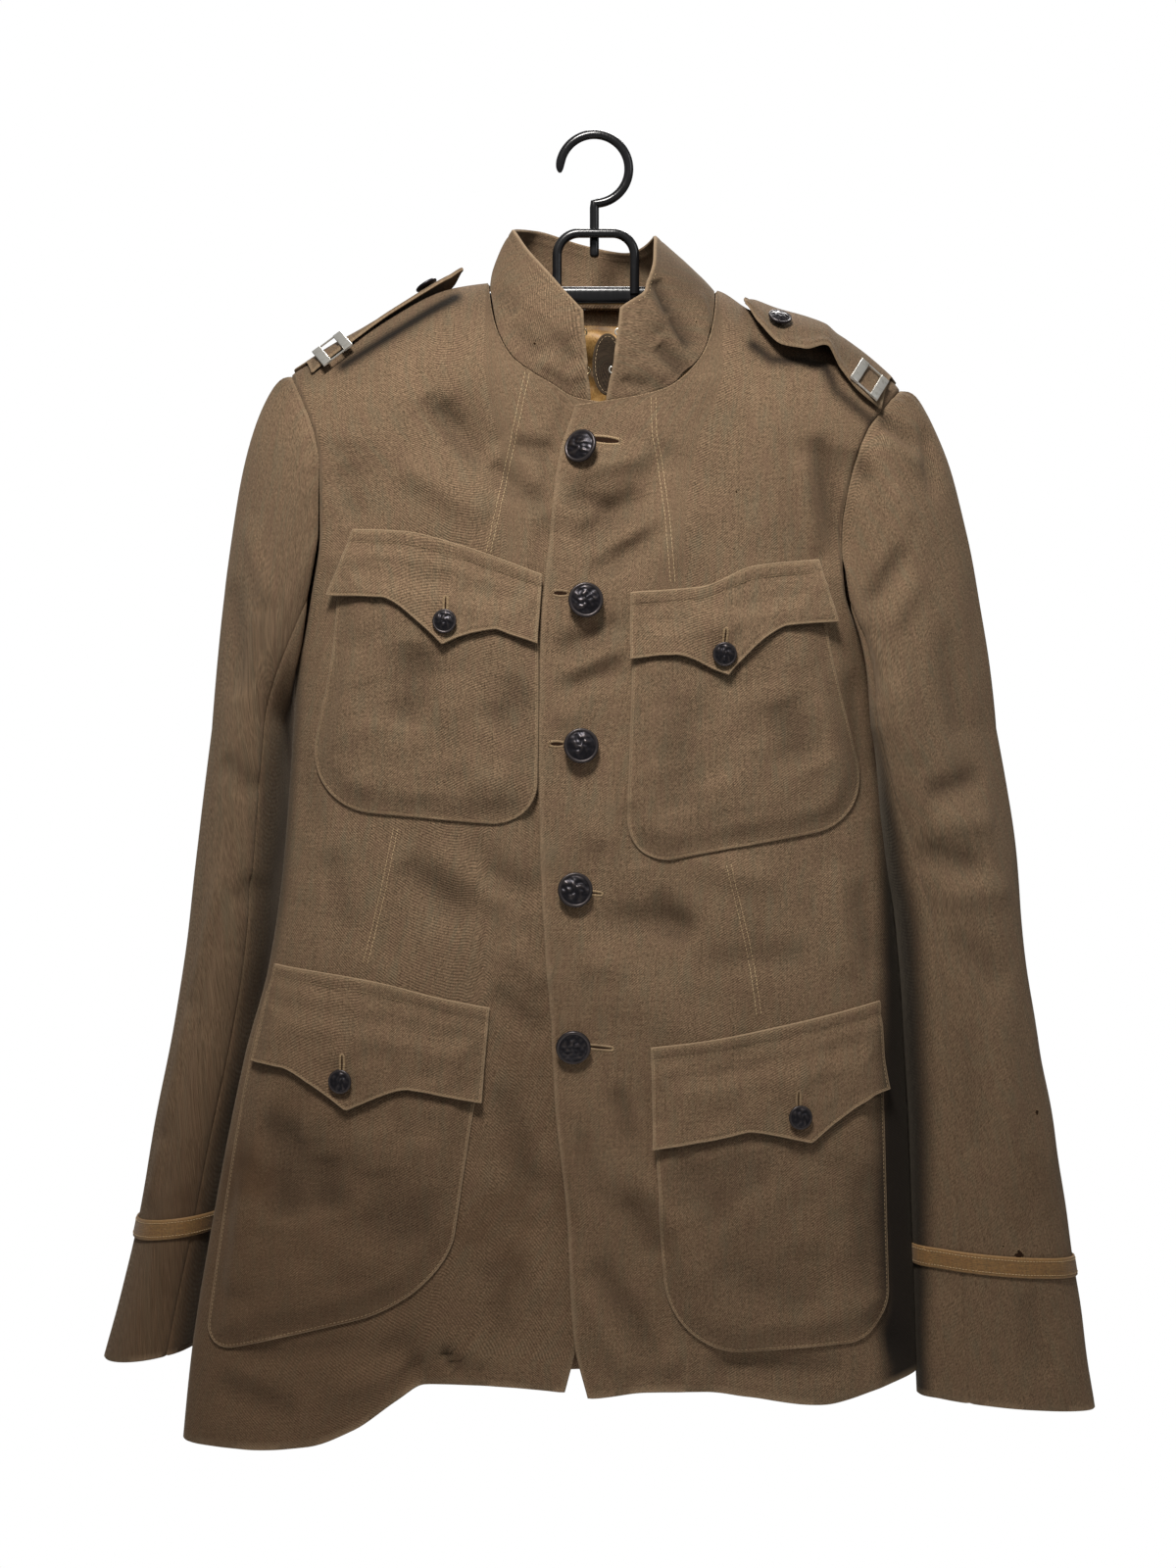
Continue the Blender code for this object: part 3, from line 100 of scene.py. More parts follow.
frontCut = {
    "columns": 104,
    "rows": 190,
    "neckColumns": 44,
    "edgeRight": metres((  # height, across: the buttoned edge, on top
        (-840, -4), (-801, -13), (-717, -18), (-651, -25), (-595, -28), (-508, -34), (-406, -36),
        (-347, -35), (-268, -28), (-225, -23), (-189.5, -12),
    )),
    "edgeLeft": metres((  # height, across: the button side, under the other
        (-836, -20), (-805, -12), (-770, -4), (-700, 10), (-600, 14), (-250, 14), (-187, 6),
    )),
    "armholeLeft": metres((  # height, across
        (-362, -203), (-340, -194), (-310, -188), (-270, -182), (-228, -182), (-204, -186),
        (-182, -194.5), (-160, -205),
    )),
    "armholeRight": metres((  # height, across
        (-362, 191), (-340, 177), (-310, 166), (-270, 163), (-235, 169), (-204, 180), (-186, 193),
        (-170, 207),
    )),
    # across, height
    "hem": metres((
        (-281, -878), (-233, -878), (-189, -874), (-159, -862), (-130, -842), (-112, -832), (-90, -831),
        (-20, -836), (-4, -840), (36, -836), (72, -836), (101, -840), (151, -847), (187, -840),
        (218, -830),
    )),
    "neckLeft": metres((  # across, height, from the front edge to the shoulder seam
        (6, -187), (-13, -183.5), (-29, -175), (-45, -165), (-57, -154), (-66.5, -133), (-70.5, -112),
        (-72, -98.5),
    )),
    "neckRight": metres((  # across, height, from the front edge to the shoulder seam
        (-12, -189.5), (8, -186.5), (27, -183.5), (46, -178.5), (60, -169), (74, -150), (80, -128),
        (83, -103.5),
    )),
    "folds": metres((
        (-100, -185, -45, -245, 16, -5), (-60, -210, -22, -270, 12, 3), (0, -285, 55, -215, 13, -3.5),
        (20, -330, 70, -250, 14, 3), (165, -215, 150, -300, 18, -4.5), (-160, -210, -168, -290, 16, -3),
        (75, -330, 85, -440, 18, -3.5), (-110, -350, -100, -430, 20, -3), (-20, -480, 60, -560, 20, -3),
        (10, -560, 90, -620, 20, 3), (-60, -480, -150, -550, 22, -3), (10, -700, 45, -815, 18, -5),
        (40, -660, 85, -830, 18, 4), (-30, -690, -55, -820, 20, -3.5), (-135, -800, -105, -850, 15, -5),
        (-190, -660, -170, -760, 22, -4), (150, -680, 140, -790, 22, -4),
    )),
    "creases": metres((
        (-19, -250, 15, -258, 7, -2.2), (-19, -235, 39, -221, 7.7, 2), (-14, -281, 31, -246, 8.3, -2.4),
        (-4, -303, 39, -274, 7, -2), (9, -284, 47, -258, 6.4, 1.6), (-27, -353, 17, -331, 7.7, -2.4),
        (-24, -376, 21, -361, 6.4, -1.6), (-20, -367, 21, -345, 5.8, 1.6),
        (-30, -390, -11, -396, 6.4, 1.2), (147, -207, 163, -290, 8.3, -3), (137, -220, 148, -287, 7, 2.2),
        (111, -194, 124, -271, 10.2, 1), (-4, -525, 70, -531, 8.3, -2.2), (37, -509, 65, -541, 9, -2.2),
        (53, -489, 124, -502, 9, 1.4), (-11, -553, 21, -559, 9, 1.8), (14, -636, 25, -678, 5.8, -2.4),
        (0, -748, 42, -823, 8.3, -3), (-8, -767, 23, -831, 6.4, 2.2), (19, -708, 44, -750, 8.3, -2.4),
        (31, -694, 53, -732, 6.4, 1.4), (-11, -662, 3, -713, 6.4, -1.4), (-4, -457, 3, -482, 7.7, 1.4),
        (21, -450, 31, -489, 7.7, -1.4), (-113, -183, -68, -226, 9.6, -3.2),
        (-68, -226, -32, -258, 8.3, -2.6), (-56, -215, -26, -220, 6.4, -2.2),
        (-129, -226, -68, -265, 10.2, 2.2), (-88, -201, -43, -246, 6.4, 1.6),
        (-164, -226, -158, -265, 9.6, -1.2), (-127, -489, -80, -528, 10.2, -2.6),
        (-107, -480, -56, -518, 9, 2), (-75, -495, -35, -511, 9, -2), (-177, -482, -164, -540, 9, -1.6),
        (-56, -540, -32, -572, 8.3, 1.6), (-68, -572, -32, -604, 7.7, -2),
        (-62, -636, -38, -713, 9, -1.8), (-49, -726, -32, -783, 7.7, 1.4),
        (-68, -751, -56, -809, 7.7, -1.4), (-102, -808, -85, -823, 3.8, -2.6),
        (-85, -802, -73, -820, 4.5, 1.6), (-113, -815, -132, -834, 5.1, -1.6),
        (-254, -834, -196, -854, 8.3, -2.2), (-177, -841, -120, -818, 7.7, 1.6),
        (-241, -818, -145, -806, 6.4, -1.4), (73, -818, 169, -825, 7.7, -2.2),
        (181, -783, 204, -822, 7.7, -2.6), (21, -825, 60, -829, 6.4, -1.4), (88, -477, 105, -540, 5.1, 1),
        (175, -502, 188, -566, 8.3, -2.2), (159, -489, 169, -566, 8.3, 1.4),
        (169, -361, 181, -457, 6.4, -1.8), (60, -556, 143, -550, 8.3, -1.4),
        (-196, -412, -184, -476, 7.7, -1.2),
    )),
}

backCut = {
    "columns": 120,
    "rows": 150,
    "shoulderColumns": 30,
    # height, across
    "armholeLeft": metres((
        (-362, -203), (-330, -193), (-270, -187), (-204, -189), (-160, -205),
    )),
    "armholeRight": metres((  # height, across
        (-362, 191), (-330, 184), (-270, 182), (-210, 188), (-170, 207),
    )),
    # across, height
    "hem": metres((
        (-281, -878), (-200, -852), (0, -844), (150, -838), (218, -830),
    )),
    "neck": metres((  # across, height
        (-72, -98.5), (-60, -103.5), (-36, -107), (5, -109), (45, -109.5), (70, -107.5), (83, -103.5),
    )),
    "folds": metres((
        (-150, -220, -90, -330, 20, -4), (150, -230, 100, -340, 20, -4),
        (-120, -460, -40, -520, 24, -3.5), (130, -450, 40, -510, 24, -3.5),
        (-110, -600, -140, -820, 24, -4), (0, -560, 10, -830, 26, 4), (110, -590, 130, -810, 24, -4),
    )),
    "creases": metres((
        (-165, -250, -120, -340, 10, -3.4), (165, -260, 118, -350, 10, -3.6),
        (-60, -130, 60, -134, 10, -2.8), (-150, -430, -80, -455, 11, -3), (150, -420, 70, -452, 11, -3.4),
        (-120, -500, -10, -512, 12, -2.4), (60, -540, 150, -522, 11, 2.4),
        (-60, -600, -76, -800, 13, -3.4), (60, -640, 70, -810, 13, 3.2), (150, -600, 166, -790, 12, -2.8),
        (-190, -640, -214, -820, 12, 3), (-30, -230, -18, -400, 14, 2.2),
    )),
}

# Hollows and fullness of the pockets and flaps
pocketFolds = metres((
    (-221, -665, -191, -668, 12.2, -2.5), (-199, -668, -203, -729, 12.8, -3.1),
    (-177, -681, -172, -722, 12.8, -2.5), (-152, -720, -99, -729, 17.9, -2.2),
    (-145, -662, -139, -694, 16, 1.9), (-232, -694, -235, -777, 14.1, 2),
    (-187, -742, -139, -751, 14.7, 1.5), (-113, -668, -107, -706, 14.1, 1.2),
    (-116, -345, -123, -402, 12.8, -2.5), (-41, -374, -68, -404, 12.8, -2.4),
    (-91, -367, -97, -431, 16, 1.5), (-158, -348, -164, -418, 16, 1.4), (-81, -431, -56, -438, 12.8, 1.2),
    (121, -383, 138, -428, 14.1, -2.4), (87, -374, 93, -457, 16, 1.7), (53, -380, 60, -457, 14.7, -1.4),
    (156, -361, 162, -438, 12.2, 1.4), (35, -374, 39, -438, 10.2, 1), (178, -687, 183, -780, 14.1, -2.7),
    (142, -684, 149, -751, 16, 1.9), (48, -685, 93, -720, 14.1, -2), (73, -751, 156, -783, 14.7, -1.5),
    (85, -687, 117, -694, 12.2, -1.7), (53, -713, 66, -770, 12.2, 1.2),
))


# Reads a table's column at other values of its first one, with no overshoot between the rows
def readCurve(rows, column, at):
    ordered = sorted(rows)
    xs = np.array([row[0] for row in ordered])
    ys = np.array([row[column] for row in ordered])
    at = np.clip(np.asarray(at, float), xs[0], xs[-1])
    k = np.clip(np.searchsorted(xs, at) - 1, 0, len(xs) - 2)
    step = np.diff(xs)
    slope = np.diff(ys) / step
    product = slope[:-1] * slope[1:]
    total = np.where(product > 0, slope[:-1] + slope[1:], 1.0)
    inner = np.where(product > 0, 2 * product / total, 0.0)
    tangent = np.concatenate([slope[:1], inner, slope[-1:]])
    t = (at - xs[k]) / step[k]
    start = (1 + 2 * t) * (1 - t) ** 2 * ys[k] + t * (1 - t) ** 2 * step[k] * tangent[k]
    end = t * t * (3 - 2 * t) * ys[k + 1] + t * t * (t - 1) * step[k] * tangent[k + 1]
    return start + end


def fullTurn(count):
    return np.linspace(0, 2 * math.pi, count, endpoint=False)


# The way to each point of a line, along it
def runLengths(line):
    return np.concatenate([[0], np.cumsum(np.linalg.norm(np.diff(line, axis=0), axis=1))])


# Points at parts of the length of a smooth curve through the rows
def roundedLine(rows, fractions):
    rows = np.asarray(rows, float)
    lengths = runLengths(rows)
    at = np.asarray(fractions) * lengths[-1]
    table = [tuple([length, *row]) for length, row in zip(lengths, rows)]
    return np.stack([readCurve(table, i + 1, at) for i in range(rows.shape[1])], axis=-1)


# A soft step from 0 to 1
def ease(t):
    t = np.clip(t, 0.0, 1.0)
    return t * t * (3 - 2 * t)


def unit(vectors):
    return vectors / np.maximum(np.linalg.norm(vectors, axis=-1, keepdims=True), 1e-12)


# Gentle unevenness of a size, the same on every run
def ripple(x, z, size, seed):
    waves = np.random.default_rng(seed)
    total = 0
    for _ in range(7):
        angle, phase, length = waves.uniform(0, 6.28), waves.uniform(0, 6.28), size * waves.uniform(0.6, 1.8)
        total = total + np.sin(6.2832 * (x * math.cos(angle) + z * math.sin(angle)) / length + phase)
    return total / 2.6


# Middle, half width, front depth and back depth of the body at a height
def bodySection(z):
    left, right, deepFront, deepBack = (readCurve(coat["sections"], column, z) for column in (1, 2, 3, 4))
    return (left + right) / 2, (right - left) / 2, deepFront, deepBack


# Sum of the soft troughs and ridges of a fold table
def foldHeight(rows, x, z):
    total = np.zeros(np.broadcast(x, z).shape)
    for x0, z0, x1, z1, half, height in rows:
        length2 = (x1 - x0) ** 2 + (z1 - z0) ** 2
        t = ((x - x0) * (x1 - x0) + (z - z0) * (z1 - z0)) / length2
        t = np.clip(t, 0.0, 1.0)
        away = np.hypot(x - x0 - t * (x1 - x0), z - z0 - t * (z1 - z0))
        total = total + height * np.exp(-((away / half) ** 2)) * (1 - (2 * t - 1) ** 4)
    return total


# Distance of the body's surface from its middle plane
def bodyDepth(x, z, front):
    middle, half, deepFront, deepBack = bodySection(z)
    across = np.clip(np.abs((x - middle) / half), 0.0, 1.0)
    roundness = (1 - across ** coat["squareness"]) ** (1 / coat["squareness"])
    rounding = coat["frontRounding"] if front else coat["backRounding"]
    below = np.clip((readCurve(coat["shoulder"], 1, x) - z) / rounding, 0.0, 1.0)
    shape = roundness * np.sqrt(1 - (1 - below) ** 2)
    cut = frontCut if front else backCut
    folds = foldHeight(cut["folds"], x, z) + coat["creaseStrength"] * foldHeight(cut["creases"], x, z)
    folds = folds + 0.00055 * ripple(x, z, 0.06, 3) + 0.00014 * ripple(x, z, 0.016, 4)
    return (deepFront if front else deepBack) * shape + folds * np.clip(3 * shape - 0.6, 0, 1)


# A point of the body's surface, or one moved out from it along its normal
def bodyPoint(x, z, front=True, out=0.0):
    x = np.asarray(x, float)
    z = np.asarray(z, float)
    side = -1 if front else 1
    point = np.stack([x, side * (bodyDepth(x, z, front) + coat["seamGap"] / 2), z], axis=-1)
    return point + bodyNormal(x, z, front) * np.asarray(out)[..., None]


# The outward normal, level with the seam along the side and shoulder seams
def bodyNormal(x, z, front=True):
    e = 0.0012
    side = -1 if front else 1
    slopeX = (bodyDepth(x + e, z, front) - bodyDepth(x - e, z, front)) / (2 * e)
    slopeZ = (bodyDepth(x, z + e, front) - bodyDepth(x, z - e, front)) / (2 * e)
    middle, half, _, _ = bodySection(z)
    atSide = np.abs((x - middle) / half) > 0.9999
    atTop = readCurve(coat["shoulder"], 1, x) - z < 1e-5
    slopeX = np.where(atSide, (bodyDepth(x, z, front) - bodyDepth(x - np.sign(x) * e, z, front))
                       / e * np.sign(x), slopeX)
    slopeZ = np.where(atTop, (bodyDepth(x, z, front) - bodyDepth(x, z - e, front)) / e, slopeZ)
    facing = np.where(atSide | atTop, 0.0, side)
    return unit(np.stack([-slopeX, facing, -slopeZ], axis=-1))


# A panel's grid between its hem and its top line; each edge gives its place at any height
def spanned(bottom, top, innerEdge, outerEdge, levels):
    shares = []
    for line in (bottom, top):
        near, far = innerEdge(line[:, 1]), outerEdge(line[:, 1])
        shares.append((line[:, 0] - near) / (far - near))
    v = levels[:, None]
    z = bottom[:, 1] * (1 - v) + top[:, 1] * v
    near, far = innerEdge(z), outerEdge(z)
    across = near + (far - near) * (shares[0] * (1 - v) + shares[1] * v)
    return absolute(np.stack([across, z], axis=-1))


# The relative place of a side seam with the armhole above it, at any height
def edgeLine(seamColumn, armhole):
    def place(z):
        seam = readCurve(coat["sections"], seamColumn, z)
        x = np.where(z <= coat["underarm"], seam, readCurve(armhole, 1, z))
        return relative(np.stack([x, z], axis=-1))[..., 0]
    return place


# Places across the body given as a part of its half width, and back
def relative(points):
    middle, half, _, _ = bodySection(points[..., 1])
    return np.stack([(points[..., 0] - middle) / half, points[..., 1]], axis=-1)


def absolute(points):
    middle, half, _, _ = bodySection(points[..., 1])
    return np.stack([points[..., 0] * half + middle, points[..., 1]], axis=-1)


# Parts of a line that come closer together towards its end
def closing(count, power):
    return 1 - (1 - np.linspace(0, 1, count + 1)) ** power


# Parts of the way from the hem to the top, with a row on the underarm and close ones near the top
def climb(low, high, rows):
    below = round(rows * 0.52)
    heights = np.concatenate([
        np.linspace(low, coat["underarm"], below + 1)[:-1],
        coat["underarm"] + (high - coat["underarm"]) * closing(rows - below, 1.5),
    ])
    return (heights - low) / (high - low)


# Parts of a straight line across the body, closer together where the body turns
def evenSteps(start, end, count, front=True):
    parts = np.linspace(0, 1, 121)
    line = start + (end - start) * parts[:, None]
    points = bodyPoint(line[:, 0], line[:, 1], front)
    facing = bodyNormal(line[:, 0], line[:, 1], front)
    step = (np.linalg.norm(np.diff(points, axis=0), axis=1)
            + coat["turnWeight"] * np.linalg.norm(np.diff(facing, axis=0), axis=1))
    lengths = np.concatenate([[0], np.cumsum(step)])
    return np.interp(np.linspace(0, lengths[-1], count + 1), lengths, parts)


# The bottom line of a panel between its two corners
def hemLine(start, end, hem, columns, front):
    parts = evenSteps(start, end, columns, front)
    x = start[0] + (end[0] - start[0]) * parts
    z = readCurve(hem, 1, x)
    z[0], z[-1] = start[1], end[1]
    return np.stack([x, z], axis=-1)


def shoulderLine(start, end, columns):
    x = np.linspace(start, end, columns + 1)
    return np.stack([x, readCurve(coat["shoulder"], 1, x)], axis=-1)


# Places across and up for the grid of a front
def frontPlaces(rightSide, columns, rows, neckColumns):
    edge = frontCut["edgeRight"] if rightSide else frontCut["edgeLeft"]
    neck = frontCut["neckRight"] if rightSide else frontCut["neckLeft"]
    armhole = frontCut["armholeRight"] if rightSide else frontCut["armholeLeft"]
    seamColumn = 2 if rightSide else 1

    def frontEdge(z):
        return relative(np.stack([readCurve(edge, 1, z), z], axis=-1))[..., 0]

    cornerZ = float(readCurve(frontCut["hem"], 1, coat["sections"][1][seamColumn]))
    sideCorner = np.array([float(readCurve(coat["sections"], seamColumn, cornerZ)), cornerZ])
    frontCorner = np.array([edge[0][1], edge[0][0]])
    bottom = hemLine(frontCorner, sideCorner, frontCut["hem"], columns, True)
    neckLine = roundedLine(neck, np.linspace(0, 1, neckColumns + 1))
    shoulder = shoulderLine(neck[-1][0], armhole[-1][1], columns - neckColumns)
    top = np.concatenate([neckLine, shoulder[1:]])
    levels = climb(cornerZ, armhole[-1][0], rows)
    return spanned(relative(bottom), relative(top), frontEdge, edgeLine(seamColumn, armhole), levels)


def backPlaces(columns, rows, shoulderColumns):
    corners = []
    for seamColumn in (1, 2):
        cornerZ = float(readCurve(backCut["hem"], 1, coat["sections"][1][seamColumn]))
        corners.append(np.array([float(readCurve(coat["sections"], seamColumn, cornerZ)), cornerZ]))
    bottom = hemLine(corners[0], corners[1], backCut["hem"], columns, False)
    neck = roundedLine(backCut["neck"], np.linspace(0, 1, columns - 2 * shoulderColumns + 1))
    left = shoulderLine(backCut["armholeLeft"][-1][1], backCut["neck"][0][0], shoulderColumns)
    right = shoulderLine(backCut["neck"][-1][0], backCut["armholeRight"][-1][1], shoulderColumns)
    top = np.concatenate([left[:-1], neck, right[1:]])
    levels = climb(corners[0][1], backCut["armholeLeft"][-1][0], rows)
    return spanned(relative(bottom), relative(top), edgeLine(1, backCut["armholeLeft"]),
                   edgeLine(2, backCut["armholeRight"]), levels)


# How far the button side lies behind the surface, where the other front covers it
def tuckUnder(places):
    beyond = places[..., 0] - readCurve(frontCut["edgeRight"], 1, places[..., 1])
    return (coat["clothThick"] + coat["underlap"]) * ease((beyond + 0.016) / 0.012)


# Cloth shells

# Normals of a grid of points, from its neighbours
def gridNormals(grid, ring=False):
    if ring:
        across = np.roll(grid, -1, axis=1) - np.roll(grid, 1, axis=1)
    else:
        across = np.gradient(grid, axis=1)
    return unit(np.cross(across, np.gradient(grid, axis=0)))


# The way over the cloth to each point, from the grid's first column and from its first row
def gridLengths(grid):
    across = np.linalg.norm(np.diff(grid, axis=1), axis=-1)
    up = np.linalg.norm(np.diff(grid, axis=0), axis=-1)
    u = np.concatenate([np.zeros((len(grid), 1)), np.cumsum(across, axis=1)], axis=1)
    v = np.concatenate([np.zeros((1, grid.shape[1])), np.cumsum(up, axis=0)], axis=0)
    return u, v


# The cloth's own lengths over a grid, in metres: the weave's coordinates
def clothMap(grid):
    u, v = gridLengths(grid)
    middle = grid.shape[1] // 2
    u = u - u[:, middle:middle + 1] + grid[:, middle:middle + 1, 0]
    v = v + grid[0, middle, 2]
    return np.stack([u, v], axis=-1)


# How far each point of a grid is from the borders named
def borderDistance(grid, borders):
    u, v = gridLengths(grid)
    ways = {"start": u, "end": u[:, -1:] - u, "bottom": v, "top": v[-1:] - v}
    nearest = 1.0
    for border in borders:
        nearest = np.minimum(nearest, ways[border])
    return nearest


def newObject(name, points, faces, finish, uv=None, wear=None, sharp=50, shade=None):
    mesh = bpy.data.meshes.new(name)
    mesh.from_pydata(np.asarray(points, float).tolist(), [], faces)
    mesh.shade_smooth()
    mesh.set_sharp_from_angle(angle=math.radians(sharp))
    if uv is not None:
        corners = np.zeros(len(mesh.loops), np.int32)
        mesh.loops.foreach_get("vertex_index", corners)
        layer = mesh.uv_layers.new(name="cloth")
        layer.uv.foreach_set("vector", np.asarray(uv, np.float32)[corners].ravel())
    for label, values in (("wear", wear), ("shade", shade)):
        if values is not None:
            layer = mesh.attributes.new(label, "FLOAT", "POINT")
            layer.data.foreach_set("value", np.asarray(values, np.float32).ravel())
    made = bpy.data.objects.new(name, mesh)
    mesh.materials.append(finish)
    bpy.context.scene.collection.objects.link(made)
    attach(made, "root")
    return made


# A closed shell behind a grid of outer points, with rounded borders
def clothShell(name, outer, facing, thick, finish, ring=False, borders=("start", "end", "bottom", "top"),
               shade=None):
    rows, columns = outer.shape[:2]
    inner = outer - facing * np.asarray(thick)[..., None]
    layer = rows * columns
    index = np.arange(layer).reshape(rows, columns)
    a = index[:-1] if ring else index[:-1, :-1]
    b = np.roll(index, -1, axis=1)[:-1] if ring else index[:-1, 1:]
    d = index[1:] if ring else index[1:, :-1]
    c = np.roll(index, -1, axis=1)[1:] if ring else index[1:, 1:]
    quads = np.stack([a, b, c, d], axis=-1).reshape(-1, 4)
    middle = (rows // 2, columns // 2)
    flip = np.dot(gridNormals(outer, ring)[middle], facing[middle]) < 0
    front, back = (quads[:, ::-1], quads + layer) if flip else (quads, quads[:, ::-1] + layer)
    faces = front.tolist() + back.tolist()

    if ring:
        loops = [list(index[0]) + [index[0, 0]], (list(index[-1]) + [index[-1, 0]])[::-1]]
    else:
        around = np.concatenate([index[0], index[1:, -1], index[-1, -2::-1], index[-2::-1, 0]])
        loops = [list(around)]
    points = [outer.reshape(-1, 3), inner.reshape(-1, 3)]
    uv = clothMap(outer).reshape(-1, 2)
    maps = [uv, uv]
    distance = borderDistance(outer, borders).reshape(-1)
    worn = np.exp(-distance / 0.0008)
    wears = [worn, worn * 0.3]
    # Painted shade: cloth that faces up is darkened, against the lamp from above
    paintedTopShade = 0.34 * ease((facing[..., 2] - 0.22) / 0.5)  # the cloth is darker where it faces up
    shade = np.clip(paintedTopShade + (0 if shade is None else shade), 0, 1).reshape(-1)
    shades = [shade, shade]
    start = 2 * layer
    outerFlat, innerFlat = points
    normals = facing.reshape(-1, 3)
    for loop in loops:
        ends = np.array(loop[:-1])
        along = outerFlat[np.roll(ends, -1)] - outerFlat[np.roll(ends, 1)]
        out = unit(np.cross(along, normals[ends]))
        if flip:
            out = -out
        swell = np.broadcast_to(np.asarray(thick), (rows, columns)).reshape(-1)[ends] * 0.42
        points.append((outerFlat[ends] + innerFlat[ends]) / 2 + out * swell[:, None])
        maps.append(uv[ends])
        wears.append(np.ones(len(ends)))
        shades.append(shade[ends])
        count = len(ends)
        for k in range(count):
            j = (k + 1) % count
            one, two = loop[k], loop[k + 1]
            rim = [[one, start + k, start + j, two], [start + k, layer + one, layer + two, start + j]]
            faces += rim if not flip else [face[::-1] for face in rim]
        start += count
    piece = newObject(name, np.concatenate(points), faces, finish, np.concatenate(maps),
                      np.concatenate(wears), 50, np.concatenate(shades))
    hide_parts(name)
    return piece


# Says what a shell was cut to: its greatest width and length over the cloth, and its area,
# stated as at least 0.31 and at most all of the two multiplied
def declareCloth(piece, grid, ring=False):
    closed = np.concatenate([grid, grid[:, :1]], axis=1) if ring else grid
    across = np.linalg.norm(np.diff(closed, axis=1), axis=-1)
    up = np.linalg.norm(np.diff(closed, axis=0), axis=-1)
    width, length = float(across.sum(axis=1).max()), float(up.sum(axis=0).max())
    area = float((across[:-1] * (up[:, :-1] + up[:, 1:]) / 2).sum())
    flatSizes[piece.name] = (round(width * 1000), round(length * 1000), round(area * 1e4))
    return piece


flatSizes = {}


# Faces between neighbouring rings of points
def ringFaces(count, sides):
    faces = []
    for r in range(count - 1):
        for c in range(sides):
            d = (c + 1) % sides
            faces.append([r * sides + c, r * sides + d, (r + 1) * sides + d, (r + 1) * sides + c])
    return faces


# One solid through closed rings of points, flat at both ends
def ringSolid(rings):
    rings = np.asarray(rings, float)
    count, sides = rings.shape[:2]
    faces = [list(range(sides))[::-1], list(range((count - 1) * sides, count * sides))]
    return rings.reshape(-1, 3), faces + ringFaces(count, sides)


# Several point and face lists as one
def joined(parts):
    points, faces, start = [], [], 0
    for partPoints, partFaces in parts:
        points.append(np.asarray(partPoints, float))
        faces += [[i + start for i in face] for face in partFaces]
        start += len(partPoints)
    return np.concatenate(points), faces


# A round bar along a path, with a radius for each of its points
def barAlong(path, radius, sides):
    path = np.asarray(path, float)
    radius = np.broadcast_to(np.asarray(radius, float), (len(path),))
    forward = unit(np.gradient(path, axis=0))
    flat = unit(np.cross(forward, [0.0, 1.0, 0.0]))
    deep = unit(np.cross(flat, forward))
    turns = fullTurn(sides)
    rings = [centre + r * (np.cos(turns)[:, None] * f + np.sin(turns)[:, None] * d)
             for centre, r, f, d in zip(path, radius, flat, deep)]
    return ringSolid(rings)


# Sewing

stitchLook = {
    "length": 0.0021,
    "pitch": 0.0027,
    "radius": 0.00019,
    "uneven": 0.00012,
}


# Points at even steps of a line, with the surface's normals there
def evenly(line, normals, pitch):
    lengths = runLengths(line)
    at = np.arange(pitch / 2, lengths[-1], pitch)
    where = np.stack([np.interp(at, lengths, line[:, i]) for i in range(3)], axis=-1)
    facing = unit(np.stack([np.interp(at, lengths, normals[:, i]) for i in range(3)], axis=-1))
    ahead = np.stack([np.interp(at + 1e-4, lengths, line[:, i]) for i in range(3)], axis=-1)
    behind = np.stack([np.interp(at - 1e-4, lengths, line[:, i]) for i in range(3)], axis=-1)
    return where, unit(ahead - behind), facing


# Short lengths of thread, each arched up out of the cloth between its two holes
def threads(where, along, facing, length, radius, seed):
    chance = np.random.default_rng(seed)
    count = len(where)
    side = unit(np.cross(facing, along))
    where = where + side * chance.normal(0, stitchLook["uneven"] / 2, (count, 1))
    length = length * chance.uniform(0.9, 1.08, (count, 1))
    turn = chance.normal(0, 0.05, (count, 1))
    along = unit(along + side * turn)
    side = unit(np.cross(facing, along))
    points = []
    corners = [(math.cos(t), math.sin(t)) for t in np.linspace(0, 2 * math.pi, 5)[:-1] + math.pi / 4]
    for shift, rise, part in ((-0.5, -0.5, 0.6), (-0.22, 0.55, 1.0), (0.22, 0.55, 1.0), (0.5, -0.5, 0.6)):
        centre = where + along * length * shift + facing * radius * rise
        for across, up in corners:
            points.append(centre + (side * across + facing * up) * radius * part)
    points = np.stack(points, axis=1)
    stitch = ringFaces(4, 4) + [[3, 2, 1, 0], [12, 13, 14, 15]]
    faces = [[16 * k + i for i in face] for k in range(count) for face in stitch]
    return points.reshape(-1, 3), faces


# A row of stitches along a line of points
def stitchRow(line, normals, seed, pitch=stitchLook["pitch"], length=stitchLook["length"]):
    return threads(*evenly(line, normals, pitch), length, stitchLook["radius"], seed)


# Materials

def newGroup(name, inputs, outputs):
    tree = bpy.data.node_groups.new(name, "ShaderNodeTree")
    for label, kind, value in inputs:
        socket = tree.interface.new_socket(label, in_out="INPUT", socket_type=kind)
        if value is not None:
            socket.default_value = value
    for label, kind in outputs:
        tree.interface.new_socket(label, in_out="OUTPUT", socket_type=kind)
    return tree, tree.nodes.new("NodeGroupInput").outputs, tree.nodes.new("NodeGroupOutput").inputs


# Links a socket, or sets a plain value
def plug(tree, value, socket):
    if isinstance(value, bpy.types.NodeSocket):
        tree.links.new(value, socket)
    else:
        socket.default_value = value


# A Math node
def sums(tree, operation, a, b=0.0, c=0.0, clamp=False):
    node = tree.nodes.new("ShaderNodeMath")
    node.operation = operation
    node.use_clamp = clamp
    for value, socket in zip((a, b, c), node.inputs):
        plug(tree, value, socket)
    return node.outputs[0]


def times(tree, a, b, clamp=False):
    return sums(tree, "MULTIPLY", a, b, clamp=clamp)


